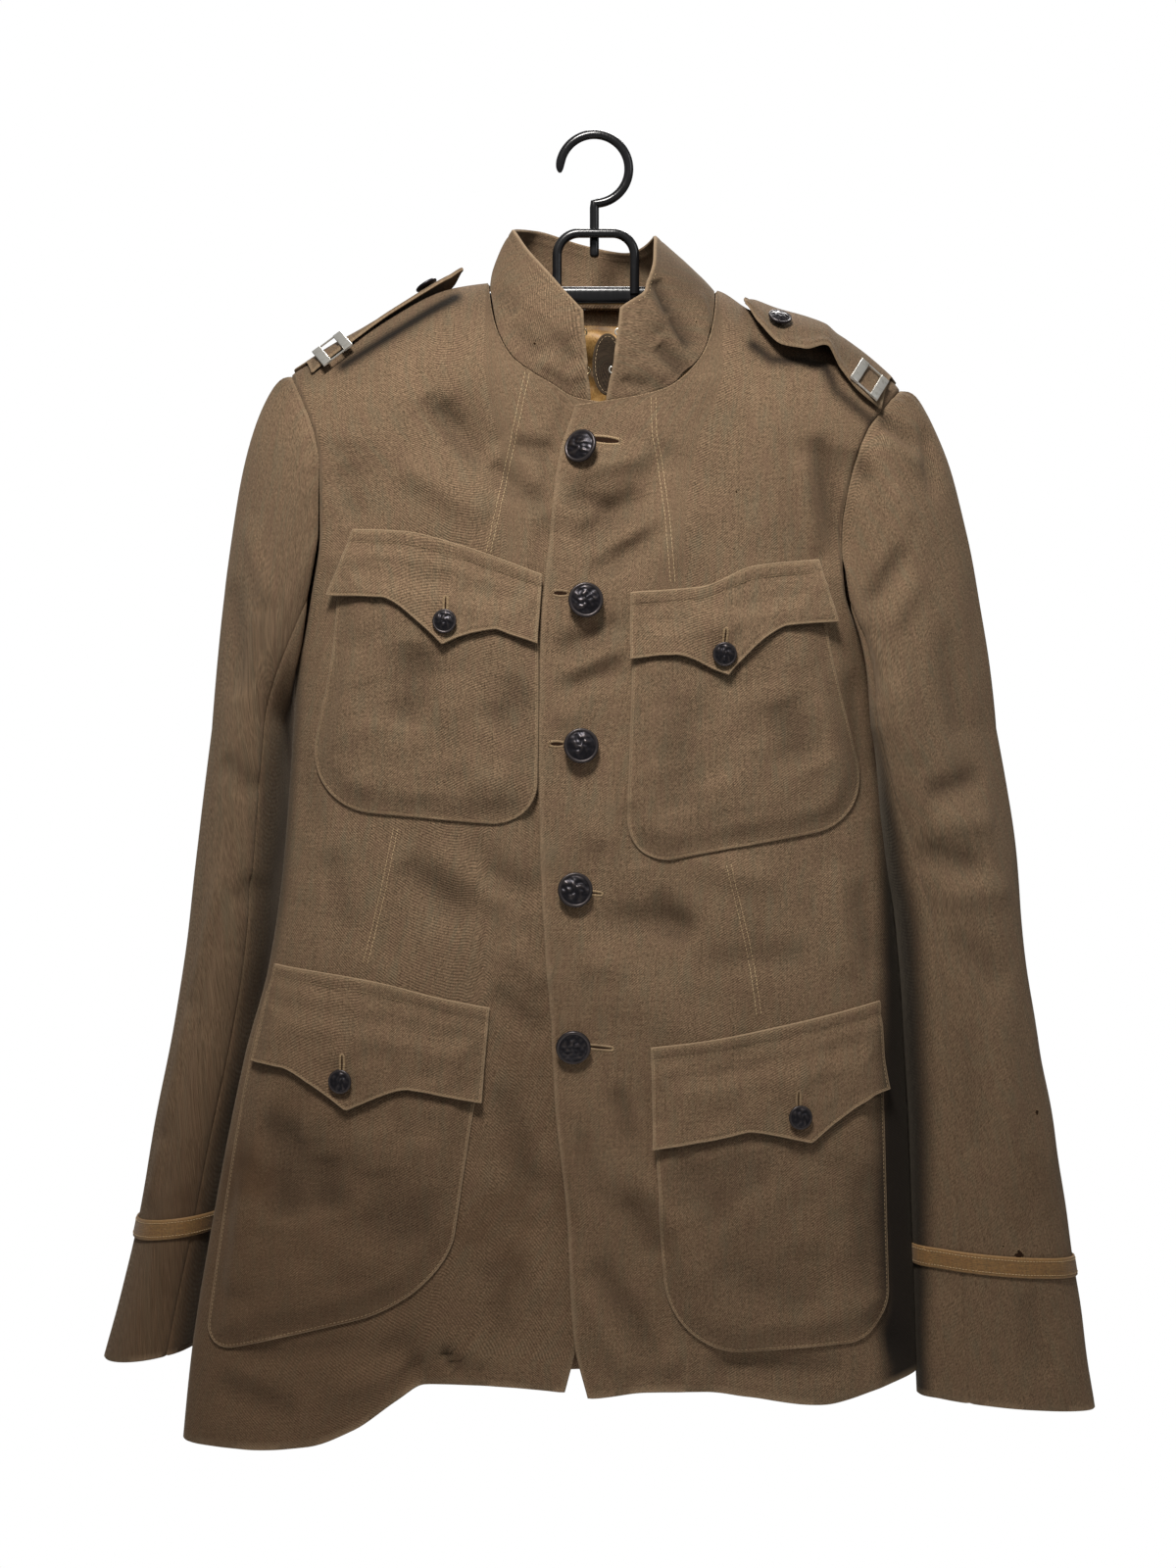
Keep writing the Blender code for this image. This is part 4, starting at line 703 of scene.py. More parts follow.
def plus(tree, a, b, clamp=False):
    return sums(tree, "ADD", a, b, clamp=clamp)


def minus(tree, a, b):
    return sums(tree, "SUBTRACT", a, b)


def ranged(tree, value, fromLow, fromHigh, toLow=0.0, toHigh=1.0):
    node = tree.nodes.new("ShaderNodeMapRange")
    for part, socket in zip((value, fromLow, fromHigh, toLow, toHigh), node.inputs):
        plug(tree, part, socket)
    return node.outputs[0]


def blended(tree, factor, a, b):
    node = tree.nodes.new("ShaderNodeMix")
    node.data_type = "RGBA"
    for value, socket in zip((factor, a, b), (node.inputs[0], node.inputs[6], node.inputs[7])):
        plug(tree, value, socket)
    return node.outputs[2]


# Noise, stretched along each way where given
def speckle(tree, vector, scale, detail=2.0, stretch=None):
    if stretch:
        scaled = tree.nodes.new("ShaderNodeVectorMath")
        scaled.operation = "MULTIPLY"
        plug(tree, vector, scaled.inputs[0])
        scaled.inputs[1].default_value = stretch
        vector = scaled.outputs[0]
    node = tree.nodes.new("ShaderNodeTexNoise")
    plug(tree, vector, node.inputs["Vector"])
    node.inputs["Scale"].default_value = scale
    node.inputs["Detail"].default_value = detail
    return node.outputs["Fac"]


# Slanting lines of a twill, broken up into single floats of yarn
def makeTwillGroup():
    tree, given, result = newGroup("twillWeave", (
        ("Cloth", "NodeSocketVector", None),
        ("Line Spacing", "NodeSocketFloat", 0.0016),
        ("Slant", "NodeSocketFloat", 0.66),
        ("Unevenness", "NodeSocketFloat", 0.0008),
    ), (("Lines", "NodeSocketFloat"), ("Height", "NodeSocketFloat")))
    parts = tree.nodes.new("ShaderNodeSeparateXYZ")
    tree.links.new(given["Cloth"], parts.inputs[0])
    sine = sums(tree, "SINE", given["Slant"])
    cosine = sums(tree, "COSINE", given["Slant"])
    wander = minus(tree, speckle(tree, given["Cloth"], 90, 3), 0.5)
    downhill = plus(tree, times(tree, parts.outputs[0], sine),
                    times(tree, parts.outputs[1], cosine))
    downhill = plus(tree, downhill, times(tree, wander, given["Unevenness"]))
    onward = minus(tree, times(tree, parts.outputs[0], cosine),
                  times(tree, parts.outputs[1], sine))
    turns = times(tree, sums(tree, "DIVIDE", downhill, given["Line Spacing"]), 6.2832)
    lines = sums(tree, "MULTIPLY_ADD", sums(tree, "SINE", turns), 0.5, 0.5)
    beat = times(tree, sums(tree, "DIVIDE", onward, given["Line Spacing"]), 5.2)
    floats = sums(tree, "MULTIPLY_ADD", sums(tree, "SINE", plus(tree, beat, turns)), 0.5, 0.5)
    fading = ranged(tree, speckle(tree, given["Cloth"], 210, 3), 0.36, 0.6, 0.25, 1.0)
    lines = sums(tree, "MULTIPLY_ADD", minus(tree, lines, 0.5), fading, 0.5)
    plug(tree, lines, result["Lines"])
    nap = speckle(tree, given["Cloth"], 1500, 2)
    body = plus(tree, times(tree, lines, 0.55), times(tree, floats, 0.25))
    plug(tree, plus(tree, body, times(tree, nap, 0.45)), result["Height"])
    return tree


# Yarns of mixed fibres: fine grain, long pale and dark yarns, and slow changes of hue
def makeHeatherGroup():
    tree, given, result = newGroup("mixedYarns", (
        ("Cloth", "NodeSocketVector", None),
        ("Light", "NodeSocketColor", (0.3, 0.2, 0.12, 1)),
        ("Dark", "NodeSocketColor", (0.12, 0.08, 0.05, 1)),
        ("Warm", "NodeSocketColor", (0.24, 0.12, 0.07, 1)),
        ("Green", "NodeSocketColor", (0.2, 0.18, 0.11, 1)),
        ("Streaks", "NodeSocketFloat", 0.5),
    ), (("Color", "NodeSocketColor"), ("Grain", "NodeSocketFloat")))
    grain = speckle(tree, given["Cloth"], 1, 2, (1050, 1250, 1))
    warp = speckle(tree, given["Cloth"], 1, 3, (620, 26, 1))
    weft = speckle(tree, given["Cloth"], 1, 3, (24, 560, 1))
    yarns = plus(tree, times(tree, warp, 0.55), times(tree, weft, 0.45))
    slubs = speckle(tree, given["Cloth"], 1, 3, (640, 540, 1))
    grain = plus(tree, times(tree, grain, 0.55), times(tree, slubs, 0.45))
    spread = plus(tree, times(tree, minus(tree, grain, 0.5), 3.8),
                  times(tree, minus(tree, yarns, 0.5),
                       times(tree, given["Streaks"], 3.0)))
    tone = plus(tree, spread, 0.5, clamp=True)
    colour = blended(tree, tone, given["Dark"], given["Light"])
    hue = speckle(tree, given["Cloth"], 1, 4, (170, 34, 1))
    colour = blended(tree, ranged(tree, hue, 0.5, 0.72, 0.0, 0.45), colour, given["Warm"])
    colour = blended(tree, ranged(tree, hue, 0.5, 0.3, 0.0, 0.42), colour, given["Green"])
    plug(tree, colour, result["Color"])
    plug(tree, grain, result["Grain"])
    return tree


# A mask of soft patches, for stains, tarnish, dust and rubbing
def makePatchGroup():
    tree, given, result = newGroup("softPatches", (
        ("Place", "NodeSocketVector", None),
        ("Size", "NodeSocketFloat", 0.05),
        ("Amount", "NodeSocketFloat", 0.5),
        ("Softness", "NodeSocketFloat", 0.15),
    ), (("Mask", "NodeSocketFloat"),))
    node = tree.nodes.new("ShaderNodeTexNoise")
    tree.links.new(given["Place"], node.inputs["Vector"])
    plug(tree, sums(tree, "DIVIDE", 1.0, given["Size"]), node.inputs["Scale"])
    node.inputs["Detail"].default_value = 4
    level = minus(tree, 0.72, times(tree, given["Amount"], 0.44))
    mask = ranged(tree, node.outputs["Fac"], level, plus(tree, level, given["Softness"]))
    plug(tree, mask, result["Mask"])
    return tree


# Borders and high places rubbed to another colour
def makeRubGroup():
    tree, given, result = newGroup("rubbedEdges", (
        ("Color", "NodeSocketColor", (0.2, 0.15, 0.1, 1)),
        ("Rubbed", "NodeSocketColor", (0.4, 0.3, 0.2, 1)),
        ("Wear", "NodeSocketFloat", 0.0),
        ("Patches", "NodeSocketFloat", 0.5),
        ("Strength", "NodeSocketFloat", 0.5),
    ), (("Color", "NodeSocketColor"), ("Mask", "NodeSocketFloat")))
    uneven = ranged(tree, given["Patches"], 0.0, 1.0, 0.45, 1.0)
    mask = times(tree, times(tree, given["Wear"], uneven), given["Strength"], clamp=True)
    plug(tree, blended(tree, mask, given["Color"], given["Rubbed"]), result["Color"])
    plug(tree, mask, result["Mask"])
    return tree


twillGroup = makeTwillGroup()
heatherGroup = makeHeatherGroup()
patchGroup = makePatchGroup()
rubGroup = makeRubGroup()


def useGroup(tree, group, **values):
    node = tree.nodes.new("ShaderNodeGroup")
    node.node_tree = group
    for label, value in values.items():
        plug(tree, value, node.inputs[label.replace("_", " ")])
    return node.outputs


def patches(tree, place, size, amount, softness):
    return useGroup(tree, patchGroup, Place=place, Size=size, Amount=amount, Softness=softness)["Mask"]


def mixedYarns(tree, cloth, look, streaks):
    return useGroup(tree, heatherGroup, Cloth=cloth, Light=look["light"], Dark=look["dark"],
                    Warm=look["warm"], Green=look["green"], Streaks=streaks)


def newMaterial(name):
    made = bpy.data.materials.new(name)
    made.use_nodes = True
    tree = made.node_tree
    return made, tree, tree.nodes["Principled BSDF"].inputs


def clothPlace(tree):
    node = tree.nodes.new("ShaderNodeUVMap")
    node.uv_map = "cloth"
    return node.outputs[0]


def objectPlace(tree):
    return tree.nodes.new("ShaderNodeTexCoord").outputs["Object"]


# Two masks kept on the pieces: "wear" is high on borders, "shade" is high where shade is painted: between
# parts, in creases, under edges and on cloth that faces up
def markOf(tree, label):
    node = tree.nodes.new("ShaderNodeAttribute")
    node.attribute_name = label
    return node.outputs["Fac"]


def addBump(tree, height, shader, depth, strength=1.0):
    bump = tree.nodes.new("ShaderNodeBump")
    bump.inputs["Strength"].default_value = strength
    bump.inputs["Distance"].default_value = depth
    plug(tree, height, bump.inputs["Height"])
    tree.links.new(bump.outputs[0], shader["Normal"])


woolLook = {
    "light": (0.335, 0.222, 0.134, 1),
    "dark": (0.1, 0.064, 0.036, 1),
    "warm": (0.205, 0.122, 0.078, 1),
    "green": (0.178, 0.15, 0.094, 1),
    "stain": (0.07, 0.035, 0.016, 1),
    # the colour of the painted shade
    "paintedShadeColour": (0.01, 0.007, 0.005, 1),
    "rubbed": (0.33, 0.235, 0.145, 1),
    "lineSpacing": 0.00135,
    "slant": -0.66,
    "lineDepth": 0.00035,
    "lineShades": (0.52, 1.2),  # between the twill's lines and on them
    "darkeningHeights": (-0.5, -0.73),  # where the darkening starts, and where there is most
    "darkeningAcross": (0.02, -0.17),  # the same towards the left side
    "darkeningAmounts": (0.03, 0.96, 0.34),  # at the top, at the hem, and more at the left
    "streaks": 0.32,
    "roughness": (0.8, 0.95),
    "sheen": 0.12,
}


# The coat's wool; shade darkens a piece as painted shade, and rub is how far its borders have worn
def woolMaterial(name, shade=1.0, rub=0.55, stains=0.34):
    made, tree, shader = newMaterial(name)
    cloth, place = clothPlace(tree), objectPlace(tree)
    tint = {key: tuple(part * shade for part in woolLook[key][:3]) + (1,)
            for key in ("light", "dark", "warm", "green", "stain")}
    weave = useGroup(tree, twillGroup, Cloth=cloth, Line_Spacing=woolLook["lineSpacing"],
                     Slant=woolLook["slant"])
    yarns = mixedYarns(tree, cloth, tint, woolLook["streaks"])
    shadeOfLines = ranged(tree, weave["Lines"], 0.0, 0.8, *woolLook["lineShades"])
    lined = tree.nodes.new("ShaderNodeVectorMath")
    lined.operation = "SCALE"
    plug(tree, yarns["Color"], lined.inputs[0])
    plug(tree, shadeOfLines, lined.inputs["Scale"])
    stained = patches(tree, place, 0.085, stains, 0.22)
    small = patches(tree, place, 0.012, 0.3, 0.25)
    low = tree.nodes.new("ShaderNodeSeparateXYZ")
    plug(tree, place, low.inputs[0])
    # darker towards the hem and towards the left side, more where the stain patches are
    little, much, more = woolLook["darkeningAmounts"]
    lower = ranged(tree, low.outputs[2], *woolLook["darkeningHeights"], little, much)
    leftward = ranged(tree, low.outputs[0], *woolLook["darkeningAcross"], 0.0, more)
    darkening = times(tree, plus(tree, sums(tree, "MULTIPLY_ADD", stained, 0.6, 0.32), leftward),
                lower, clamp=True)
    colour = blended(tree, darkening, lined.outputs[0], tint["stain"])
    colour = blended(tree, times(tree, small, 0.16), colour, tint["warm"])
    # painted shade: the cloth goes towards a near-black colour where the "shade" mask is high
    colour = blended(tree, markOf(tree, "shade"), colour, woolLook["paintedShadeColour"])
    rubbed = useGroup(tree, rubGroup, Color=colour, Rubbed=woolLook["rubbed"], Wear=markOf(tree, "wear"),
                      Patches=speckle(tree, place, 260, 3), Strength=rub)
    plug(tree, rubbed["Color"], shader["Base Color"])
    plug(tree, ranged(tree, yarns["Grain"], 0.3, 0.7, *woolLook["roughness"]), shader["Roughness"])
    shader["Sheen Weight"].default_value = woolLook["sheen"]
    shader["Sheen Roughness"].default_value = 0.45
    shader["Sheen Tint"].default_value = (0.85, 0.72, 0.55, 1)
    shader["Specular IOR Level"].default_value = 0.18
    addBump(tree, weave["Height"], shader, woolLook["lineDepth"], 0.8)
    return made


liningLook = {
    "light": (0.56, 0.33, 0.105, 1),
    "dark": (0.3, 0.15, 0.038, 1),
    "warm": (0.42, 0.19, 0.045, 1),
    "green": (0.56, 0.33, 0.105, 1),
    "stain": (0.09, 0.038, 0.012, 1),
}


def liningMaterial():
    made, tree, shader = newMaterial("goldenLining")
    cloth, place = clothPlace(tree), objectPlace(tree)
    weave = useGroup(tree, twillGroup, Cloth=cloth, Line_Spacing=0.0009, Slant=1.1)
    yarns = mixedYarns(tree, cloth, liningLook, 0.25)
    old = patches(tree, place, 0.016, 0.52, 0.16)
    colour = blended(tree, times(tree, old, 0.7), yarns["Color"], liningLook["stain"])
    plug(tree, colour, shader["Base Color"])
    plug(tree, ranged(tree, yarns["Grain"], 0.3, 0.7, 0.42, 0.62), shader["Roughness"])
    shader["Sheen Weight"].default_value = 0.1
    addBump(tree, weave["Height"], shader, 0.0001, 0.6)
    return made


braidLook = {
    "light": (0.255, 0.132, 0.036, 1),
    "dark": (0.115, 0.056, 0.015, 1),
    "warm": (0.185, 0.08, 0.018, 1),
    "green": (0.16, 0.096, 0.026, 1),
    "rubbed": (0.38, 0.225, 0.09, 1),
    "ribSpacing": 0.0011,
}


# Flat braid with ribs along its length
def braidMaterial():
    made, tree, shader = newMaterial("tanBraid")
    cloth, place = clothPlace(tree), objectPlace(tree)
    ribs = useGroup(tree, twillGroup, Cloth=cloth, Line_Spacing=braidLook["ribSpacing"], Slant=0.0,
                    Unevenness=0.0002)
    yarns = mixedYarns(tree, cloth, braidLook, 0.5)
    bare = patches(tree, place, 0.005, 0.14, 0.1)
    worn = plus(tree, times(tree, markOf(tree, "wear"), 0.35), times(tree, bare, 0.6), clamp=True)
    colour = blended(tree, worn, yarns["Color"], braidLook["rubbed"])
    plug(tree, colour, shader["Base Color"])
    plug(tree, ranged(tree, yarns["Grain"], 0.3, 0.7, 0.62, 0.85), shader["Roughness"])
    shader["Sheen Weight"].default_value = 0.15
    addBump(tree, ribs["Height"], shader, 0.00025, 0.9)
    return made


# Sewing thread, a little uneven in colour
def threadMaterial(name, light, dark):
    made, tree, shader = newMaterial(name)
    place = objectPlace(tree)
    old = patches(tree, place, 0.02, 0.5, 0.3)
    colour = blended(tree, old, light, dark)
    plug(tree, colour, shader["Base Color"])
    plug(tree, ranged(tree, speckle(tree, place, 900, 2), 0.3, 0.7, 0.55, 0.8), shader["Roughness"])
    addBump(tree, speckle(tree, place, 2600, 1), shader, 0.00008, 0.6)
    return made


metalLooks = {
    "darkBronze": {"base": (0.026, 0.024, 0.029, 1), "rubbed": (0.105, 0.088, 0.085, 1), "metal": 0.75,
                   "tarnish": (0.012, 0.01, 0.012, 1), "rough": (0.34, 0.55), "size": 0.0035, "grain": 1500},
    "agedSilver": {"base": (0.82, 0.8, 0.74, 1), "rubbed": (0.94, 0.925, 0.88, 1), "metal": 0.8,
                   "tarnish": (0.3, 0.27, 0.22, 1), "rough": (0.3, 0.5), "size": 0.004, "grain": 1800},
    "oldWire": {"base": (0.52, 0.42, 0.25, 1), "rubbed": (0.86, 0.76, 0.52, 1), "metal": 1.0,
                "tarnish": (0.12, 0.08, 0.04, 1), "rough": (0.2, 0.4), "size": 0.002, "grain": 2400},
}


def metalMaterial(name):
    look = metalLooks[name]
    made, tree, shader = newMaterial(name)
    place = objectPlace(tree)
    dull = patches(tree, place, look["size"], 0.5, 0.3)
    colour = blended(tree, times(tree, dull, 0.75), look["base"], look["tarnish"])
    rubbed = useGroup(tree, rubGroup, Color=colour, Rubbed=look["rubbed"], Wear=markOf(tree, "wear"),
                      Patches=speckle(tree, place, 500, 3), Strength=0.9)
    plug(tree, rubbed["Color"], shader["Base Color"])
    plug(tree, ranged(tree, dull, 0.0, 1.0, *look["rough"]), shader["Roughness"])
    shader["Metallic"].default_value = look["metal"]
    addBump(tree, speckle(tree, place, look["grain"], 3), shader, 0.00006, 0.5)
    return made


plasticLook = {
    "base": (0.01, 0.01, 0.011, 1),
    "dust": (0.06, 0.058, 0.055, 1),
    "rough": (0.16, 0.36),
}


def plasticMaterial():
    made, tree, shader = newMaterial("blackPlastic")
    place = objectPlace(tree)
    dust = patches(tree, place, 0.018, 0.42, 0.3)
    plug(tree, blended(tree, times(tree, dust, 0.25), plasticLook["base"], plasticLook["dust"]),
         shader["Base Color"])
    scratches = speckle(tree, place, 1, 3, (900, 900, 60))
    plug(tree, ranged(tree, plus(tree, times(tree, dust, 0.5), scratches), 0.3, 1.2,
                      *plasticLook["rough"]), shader["Roughness"])
    shader["Specular IOR Level"].default_value = 0.55
    addBump(tree, speckle(tree, place, 420, 3), shader, 0.0001, 0.4)
    return made


holeShadeLook = {
    "dark": (0.01, 0.006, 0.004, 1),
    "pale": (0.045, 0.022, 0.012, 1),
    "rough": (0.9, 1.0),
}


# Painted shade for the inside of a slit or a moth hole
def holeShadeMaterial():
    made, tree, shader = newMaterial("paintedHoleShade")
    place = objectPlace(tree)
    mottled = speckle(tree, place, 700, 2)
    plug(tree, blended(tree, mottled, holeShadeLook["dark"], holeShadeLook["pale"]), shader["Base Color"])
    plug(tree, ranged(tree, mottled, 0.3, 0.7, *holeShadeLook["rough"]), shader["Roughness"])
    shader["Specular IOR Level"].default_value = 0.05
    return made


# Copies of the wool: the darker ones carry painted shade, the tab most, as it lies in the shade of the neck
# opening
wool = woolMaterial("coatWool")
pocketWool = woolMaterial("pocketWool", 0.97, 0.85)
flapWool = woolMaterial("flapWool", 1.0, 0.95)
collarWool = woolMaterial("collarWool", 0.9, 0.75, 0.4)
strapWool = woolMaterial("strapWool", 0.9, 0.7, 0.4)
tabWool = woolMaterial("tabWool", 0.16, 0.15, 0.4)
sleeveWool = woolMaterial("sleeveWool", 0.96, 0.5, 0.36)
lining = liningMaterial()
braid = braidMaterial()
topThread = threadMaterial("topThread", (0.4, 0.28, 0.155, 1), (0.25, 0.17, 0.092, 1))
seamThread = threadMaterial("seamThread", (0.66, 0.48, 0.265, 1), (0.42, 0.29, 0.155, 1))
holeThread = threadMaterial("holeThread", (0.4, 0.275, 0.15, 1), (0.19, 0.12, 0.065, 1))
bronze = metalMaterial("darkBronze")
silver = metalMaterial("agedSilver")
wireMetal = metalMaterial("oldWire")
plastic = plasticMaterial()
holeShade = holeShadeMaterial()
print("materials ready")


# Fronts, back and lining

def lineDistance(x, z, line):
    line = np.asarray(line, float)
    nearest = np.full(np.shape(x), 1.0)
    for (ax, az), (bx, bz) in zip(line, line[1:]):
        dx, dz = bx - ax, bz - az
        part = np.clip(((x - ax) * dx + (z - az) * dz) / (dx * dx + dz * dz + 1e-15), 0, 1)
        nearest = np.minimum(nearest, np.hypot(x - ax - part * dx, z - az - part * dz))
    return nearest


# The seams sewn twice, as places across and up; the welt under them stands a little higher
doubleSeams = {
    "spacing": 0.003,
    "welt": 0.00045,
    "halfWidth": 0.003,
    "lines": (
        ("front_left", ((-0.0441, -0.1674), (-0.056, -0.224), (-0.0691, -0.2855))),
        ("front_left", ((-0.1301, -0.4664), (-0.14, -0.513), (-0.1506, -0.556))),
        ("front_right", ((0.0387, -0.184), (0.039, -0.2046), (0.0432, -0.2296), (0.0477, -0.2662),
                         (0.0509, -0.306))),
        ("front_right", ((0.0875, -0.49), (0.1022, -0.5531), (0.1075, -0.588))),
    ),
}

armholeSink = 0.0006  # how far the panels' edges dip into their seams


def sink(places, borders):
    grid = np.stack([places[..., 0], 0 * places[..., 0], places[..., 1]], axis=-1)
    return -armholeSink * np.exp(-(borderDistance(grid, borders) / 0.0022) ** 2)


# The coat's right side lies against its sleeve, so that no light comes through between them
def sideRest(x, z):
    middle, half, _, _ = bodySection(z)
    inward = middle + half - x
    level = ease((-0.415 - z) / 0.05) * ease((z + 0.885) / 0.04)
    return 0.0036 * np.exp(-(inward / 0.012) ** 2) * level


# How dark the painted shade makes the cloth, from 0 to 1
paintedShadeLook = {
    "rightSide": 0.99,
    "leftSide": 0.6,
    "straps": 0.75,
    "creases": 0.3,
    "pocketFolds": 0.34,
    "underFlaps": 0.35,
    "collarDents": 0.42,
    "collarRight": 0.16,
    "sleeveFolds": 0.36,
    "rightSleeve": 0.99,
    "leftSleeve": 0.5,
}


# Painted shade between the coat's sides and its sleeves
def sideShade(x, z):
    middle, half, _, _ = bodySection(z)
    right = middle + half - x
    left = x - (middle - half)
    rightLevel = ease((-0.4 - z) / 0.12)
    leftLevel = ease((-0.3 - z) / 0.06) * ease((z + 0.62) / 0.12)
    wide = 0.013 + 0.019 * ease((-0.46 - z) / 0.26)
    return (paintedShadeLook["rightSide"] * ease((wide - right) / (0.3 * wide + 0.008)) * rightLevel
            + paintedShadeLook["leftSide"] * ease((0.011 - left) / 0.009) * leftLevel)


# Painted shade in hollows: more where the height is further below zero
def hollowShade(height, deep, most):
    return most * np.clip(-height / deep, 0, 1)


# Lines under the straps' front edges, where a shadow is painted
strapShadowLines = (
    ((-0.093, -0.113), (-0.168, -0.159)),
    ((0.105, -0.147), (0.117, -0.157), (0.14, -0.157), (0.153, -0.16), (0.16, -0.177), (0.187, -0.199)),
)


def strapShade(x, z):
    return sum(paintedShadeLook["straps"] * np.exp(-(lineDistance(x, z, line) / 0.0045) ** 2)
               for line in strapShadowLines)


def makeFront(name, rightSide):
    places = frontPlaces(rightSide, frontCut["columns"], frontCut["rows"], frontCut["neckColumns"])
    x, z = places[..., 0], places[..., 1]
    out = sink(places, ("end",)) + sideRest(x, z)
    out[-1, frontCut["neckColumns"]:] -= armholeSink
    if not rightSide:
        out = out - tuckUnder(places)
    for side, line in doubleSeams["lines"]:
        if side == name:
            away = lineDistance(x, z, line) / doubleSeams["halfWidth"]
            out = out + doubleSeams["welt"] * np.exp(-away ** 4)
    grid = bodyPoint(x, z, True, out)
    # Painted shade beside the sleeves, a painted shadow under the straps, and painted shade in the creases
    piece = clothShell(name, grid, bodyNormal(x, z), coat["clothThick"], wool,
                       borders=("start", "bottom"),
                       shade=sideShade(x, z) + strapShade(x, z)
                       + hollowShade(foldHeight(frontCut["creases"], x, z), 0.003, paintedShadeLook["creases"]))
    declareCloth(piece, grid)
    return grid


fronts = {"front_left": makeFront("front_left", False), "front_right": makeFront("front_right", True)}
print("fronts built")


def makeBack():
    places = backPlaces(backCut["columns"], backCut["rows"], backCut["shoulderColumns"])
    x, z = places[..., 0], places[..., 1]
    out = sink(places, ("start", "end")) + sideRest(x, z)
    grid = bodyPoint(x, z, False, out)
    piece = clothShell("back", grid, bodyNormal(x, z, False), coat["clothThick"], wool,
                       borders=("bottom",))
    declareCloth(piece, grid)
    return grid


back = makeBack()

liningCut = {
    "area": (-0.068, 0.07, -0.12, -0.33),  # left, right, top, bottom
    "inside": 0.0041,
    "thick": 0.001,
    "grid": (76, 96),
    "creases": metres((
        (-12, -125, 30, -138, 3.5, -2.6), (-10, -140, 24, -158, 3, 2), (-6, -152, 28, -170, 3, -2.6),
        (12, -130, 4, -195, 2.5, -2.2), (-2, -165, 16, -185, 3, 1.8), (-10, -178, 20, -196, 3, -2.2),
        (-50, -140, -20, -150, 4, -1.6), (30, -160, 55, -150, 4, 1.6),
    )),
}


def makeLining():
    left, right, top, bottom = liningCut["area"]
    rows, columns = liningCut["grid"]
    x, z = np.meshgrid(np.linspace(left, right, columns), np.linspace(bottom, top, rows))
    out = np.minimum(foldHeight(liningCut["creases"], x, z) + 0.0003 * ripple(x, z, 0.012, 9), 0.0008)
    grid = bodyPoint(x, z, False, out - liningCut["inside"])
    facing = -bodyNormal(x, z, False)
    piece = clothShell("neck_lining", grid + facing * liningCut["thick"], facing,
                       liningCut["thick"], lining)
    declareCloth(piece, grid)


makeLining()


# A line moved sideways, such as a row of stitches in from a border
def insetLine(run, distance):
    way = unit(np.gradient(run, axis=0))
    return run + np.stack([-way[:, 1], way[:, 0]], axis=-1) * distance


def seamStitches():
    parts = []
    for number, (side, line) in enumerate(doubleSeams["lines"]):
        line = roundedLine(line, np.linspace(0, 1, 120))
        for shift in (-0.5, 0.5):
            row = insetLine(line, shift * doubleSeams["spacing"])
            x, z = row[:, 0], row[:, 1]
            out = doubleSeams["welt"] - 0.00002
            if side == "front_left":
                out = out - tuckUnder(row)
            parts.append(stitchRow(bodyPoint(x, z, True, out), bodyNormal(x, z), 20 + number))
    newObject("seam_stitches", *joined(parts), seamThread)


seamStitches()
print("back, lining and seams built")

# Pockets and flaps

pocketCut = {
    "grid": (84, 84),
    "lay": 0.0004,
    "thick": 0.0013,
    "puff": 0.0036,  # how full a pocket stands in its middle
    "foldStrength": 1.5,
    "stitchIn": 0.0013,
    "stitchSink": 0.0003,
    "stitchWidth": 0.0009,
    # top left, top right, lower left, lower right, radius left, radius right
    "upper_left": ((-0.167, -0.29), (-0.038, -0.316), (-0.195, -0.452), (-0.038, -0.466), 0.05, 0.032),
    "upper_right": ((0.026, -0.33), (0.148, -0.304), (0.021, -0.492), (0.185, -0.462), 0.032, 0.042),
    "lower_left": ((-0.2185, -0.577), (-0.071, -0.602), (-0.259, -0.816), (-0.098, -0.774), 0.02, 0.06),
    "lower_right": ((0.038, -0.628), (0.19, -0.604), (0.05, -0.812), (0.196, -0.806), 0.05, 0.03),
}

flapCut = {
    "grid": (96, 52),
    "thick": 0.0013,
    "pointReach": 0.27,
    "bandWidth": 0.0066,  # between the two rows at the top
    "bandHeight": 0.00045,
    "lip": 0.002,  # how far the lower edge stands off
    # top line points (across, height), depth left, right, shift left, right, point, drop
    "upper_left": (((-0.159, -0.27), (-0.126, -0.272), (-0.093, -0.28), (-0.0345, -0.301)),
                       0.043, 0.045, -0.015, -0.003, 0.54, 0.022),
    "upper_right": (((0.024, -0.313), (0.07, -0.309), (0.105, -0.295), (0.147, -0.29)),
                        0.043, 0.04, -0.001, 0.01, 0.48, 0.02),
    "lower_left": (((-0.2125, -0.558), (-0.148, -0.567), (-0.1, -0.578), (-0.069, -0.584)),
                       0.064, 0.061, -0.013, -0.005, 0.42, 0.022),
    "lower_right": (((0.037, -0.61), (0.078, -0.605), (0.131, -0.595), (0.189, -0.582)),
                        0.066, 0.058, 0.002, 0.003, 0.66, 0.018),
    # across, height, reach, how far that corner or point stands off
    "curls": metres((
        (160, -325, 16, 4.5), (154, -300, 12, 2), (90, -369, 12, 1.2), (-100, -346, 12, 1.4),
        (-172, -308, 12, 1.6), (-40, -345, 12, 1.2), (-174, -663, 14, 2), (-78, -650, 14, 1.6),
        (130, -678, 14, 1.4), (190, -645, 14, 1.8), (43, -680, 14, 1.6),
    )),
}


# Parts from 0 to 1 with extra ones close to both ends, for a length in metres
def closeBorders(count, length):
    near = np.array([0, 0.0005, 0.001, 0.0015, 0.002, 0.0026, 0.0034]) / length
    inner = np.linspace(near[-1], 1 - near[-1], count - 2 * (len(near) - 1))
    return np.concatenate([near[:-1], inner, 1 - near[:-1][::-1]])


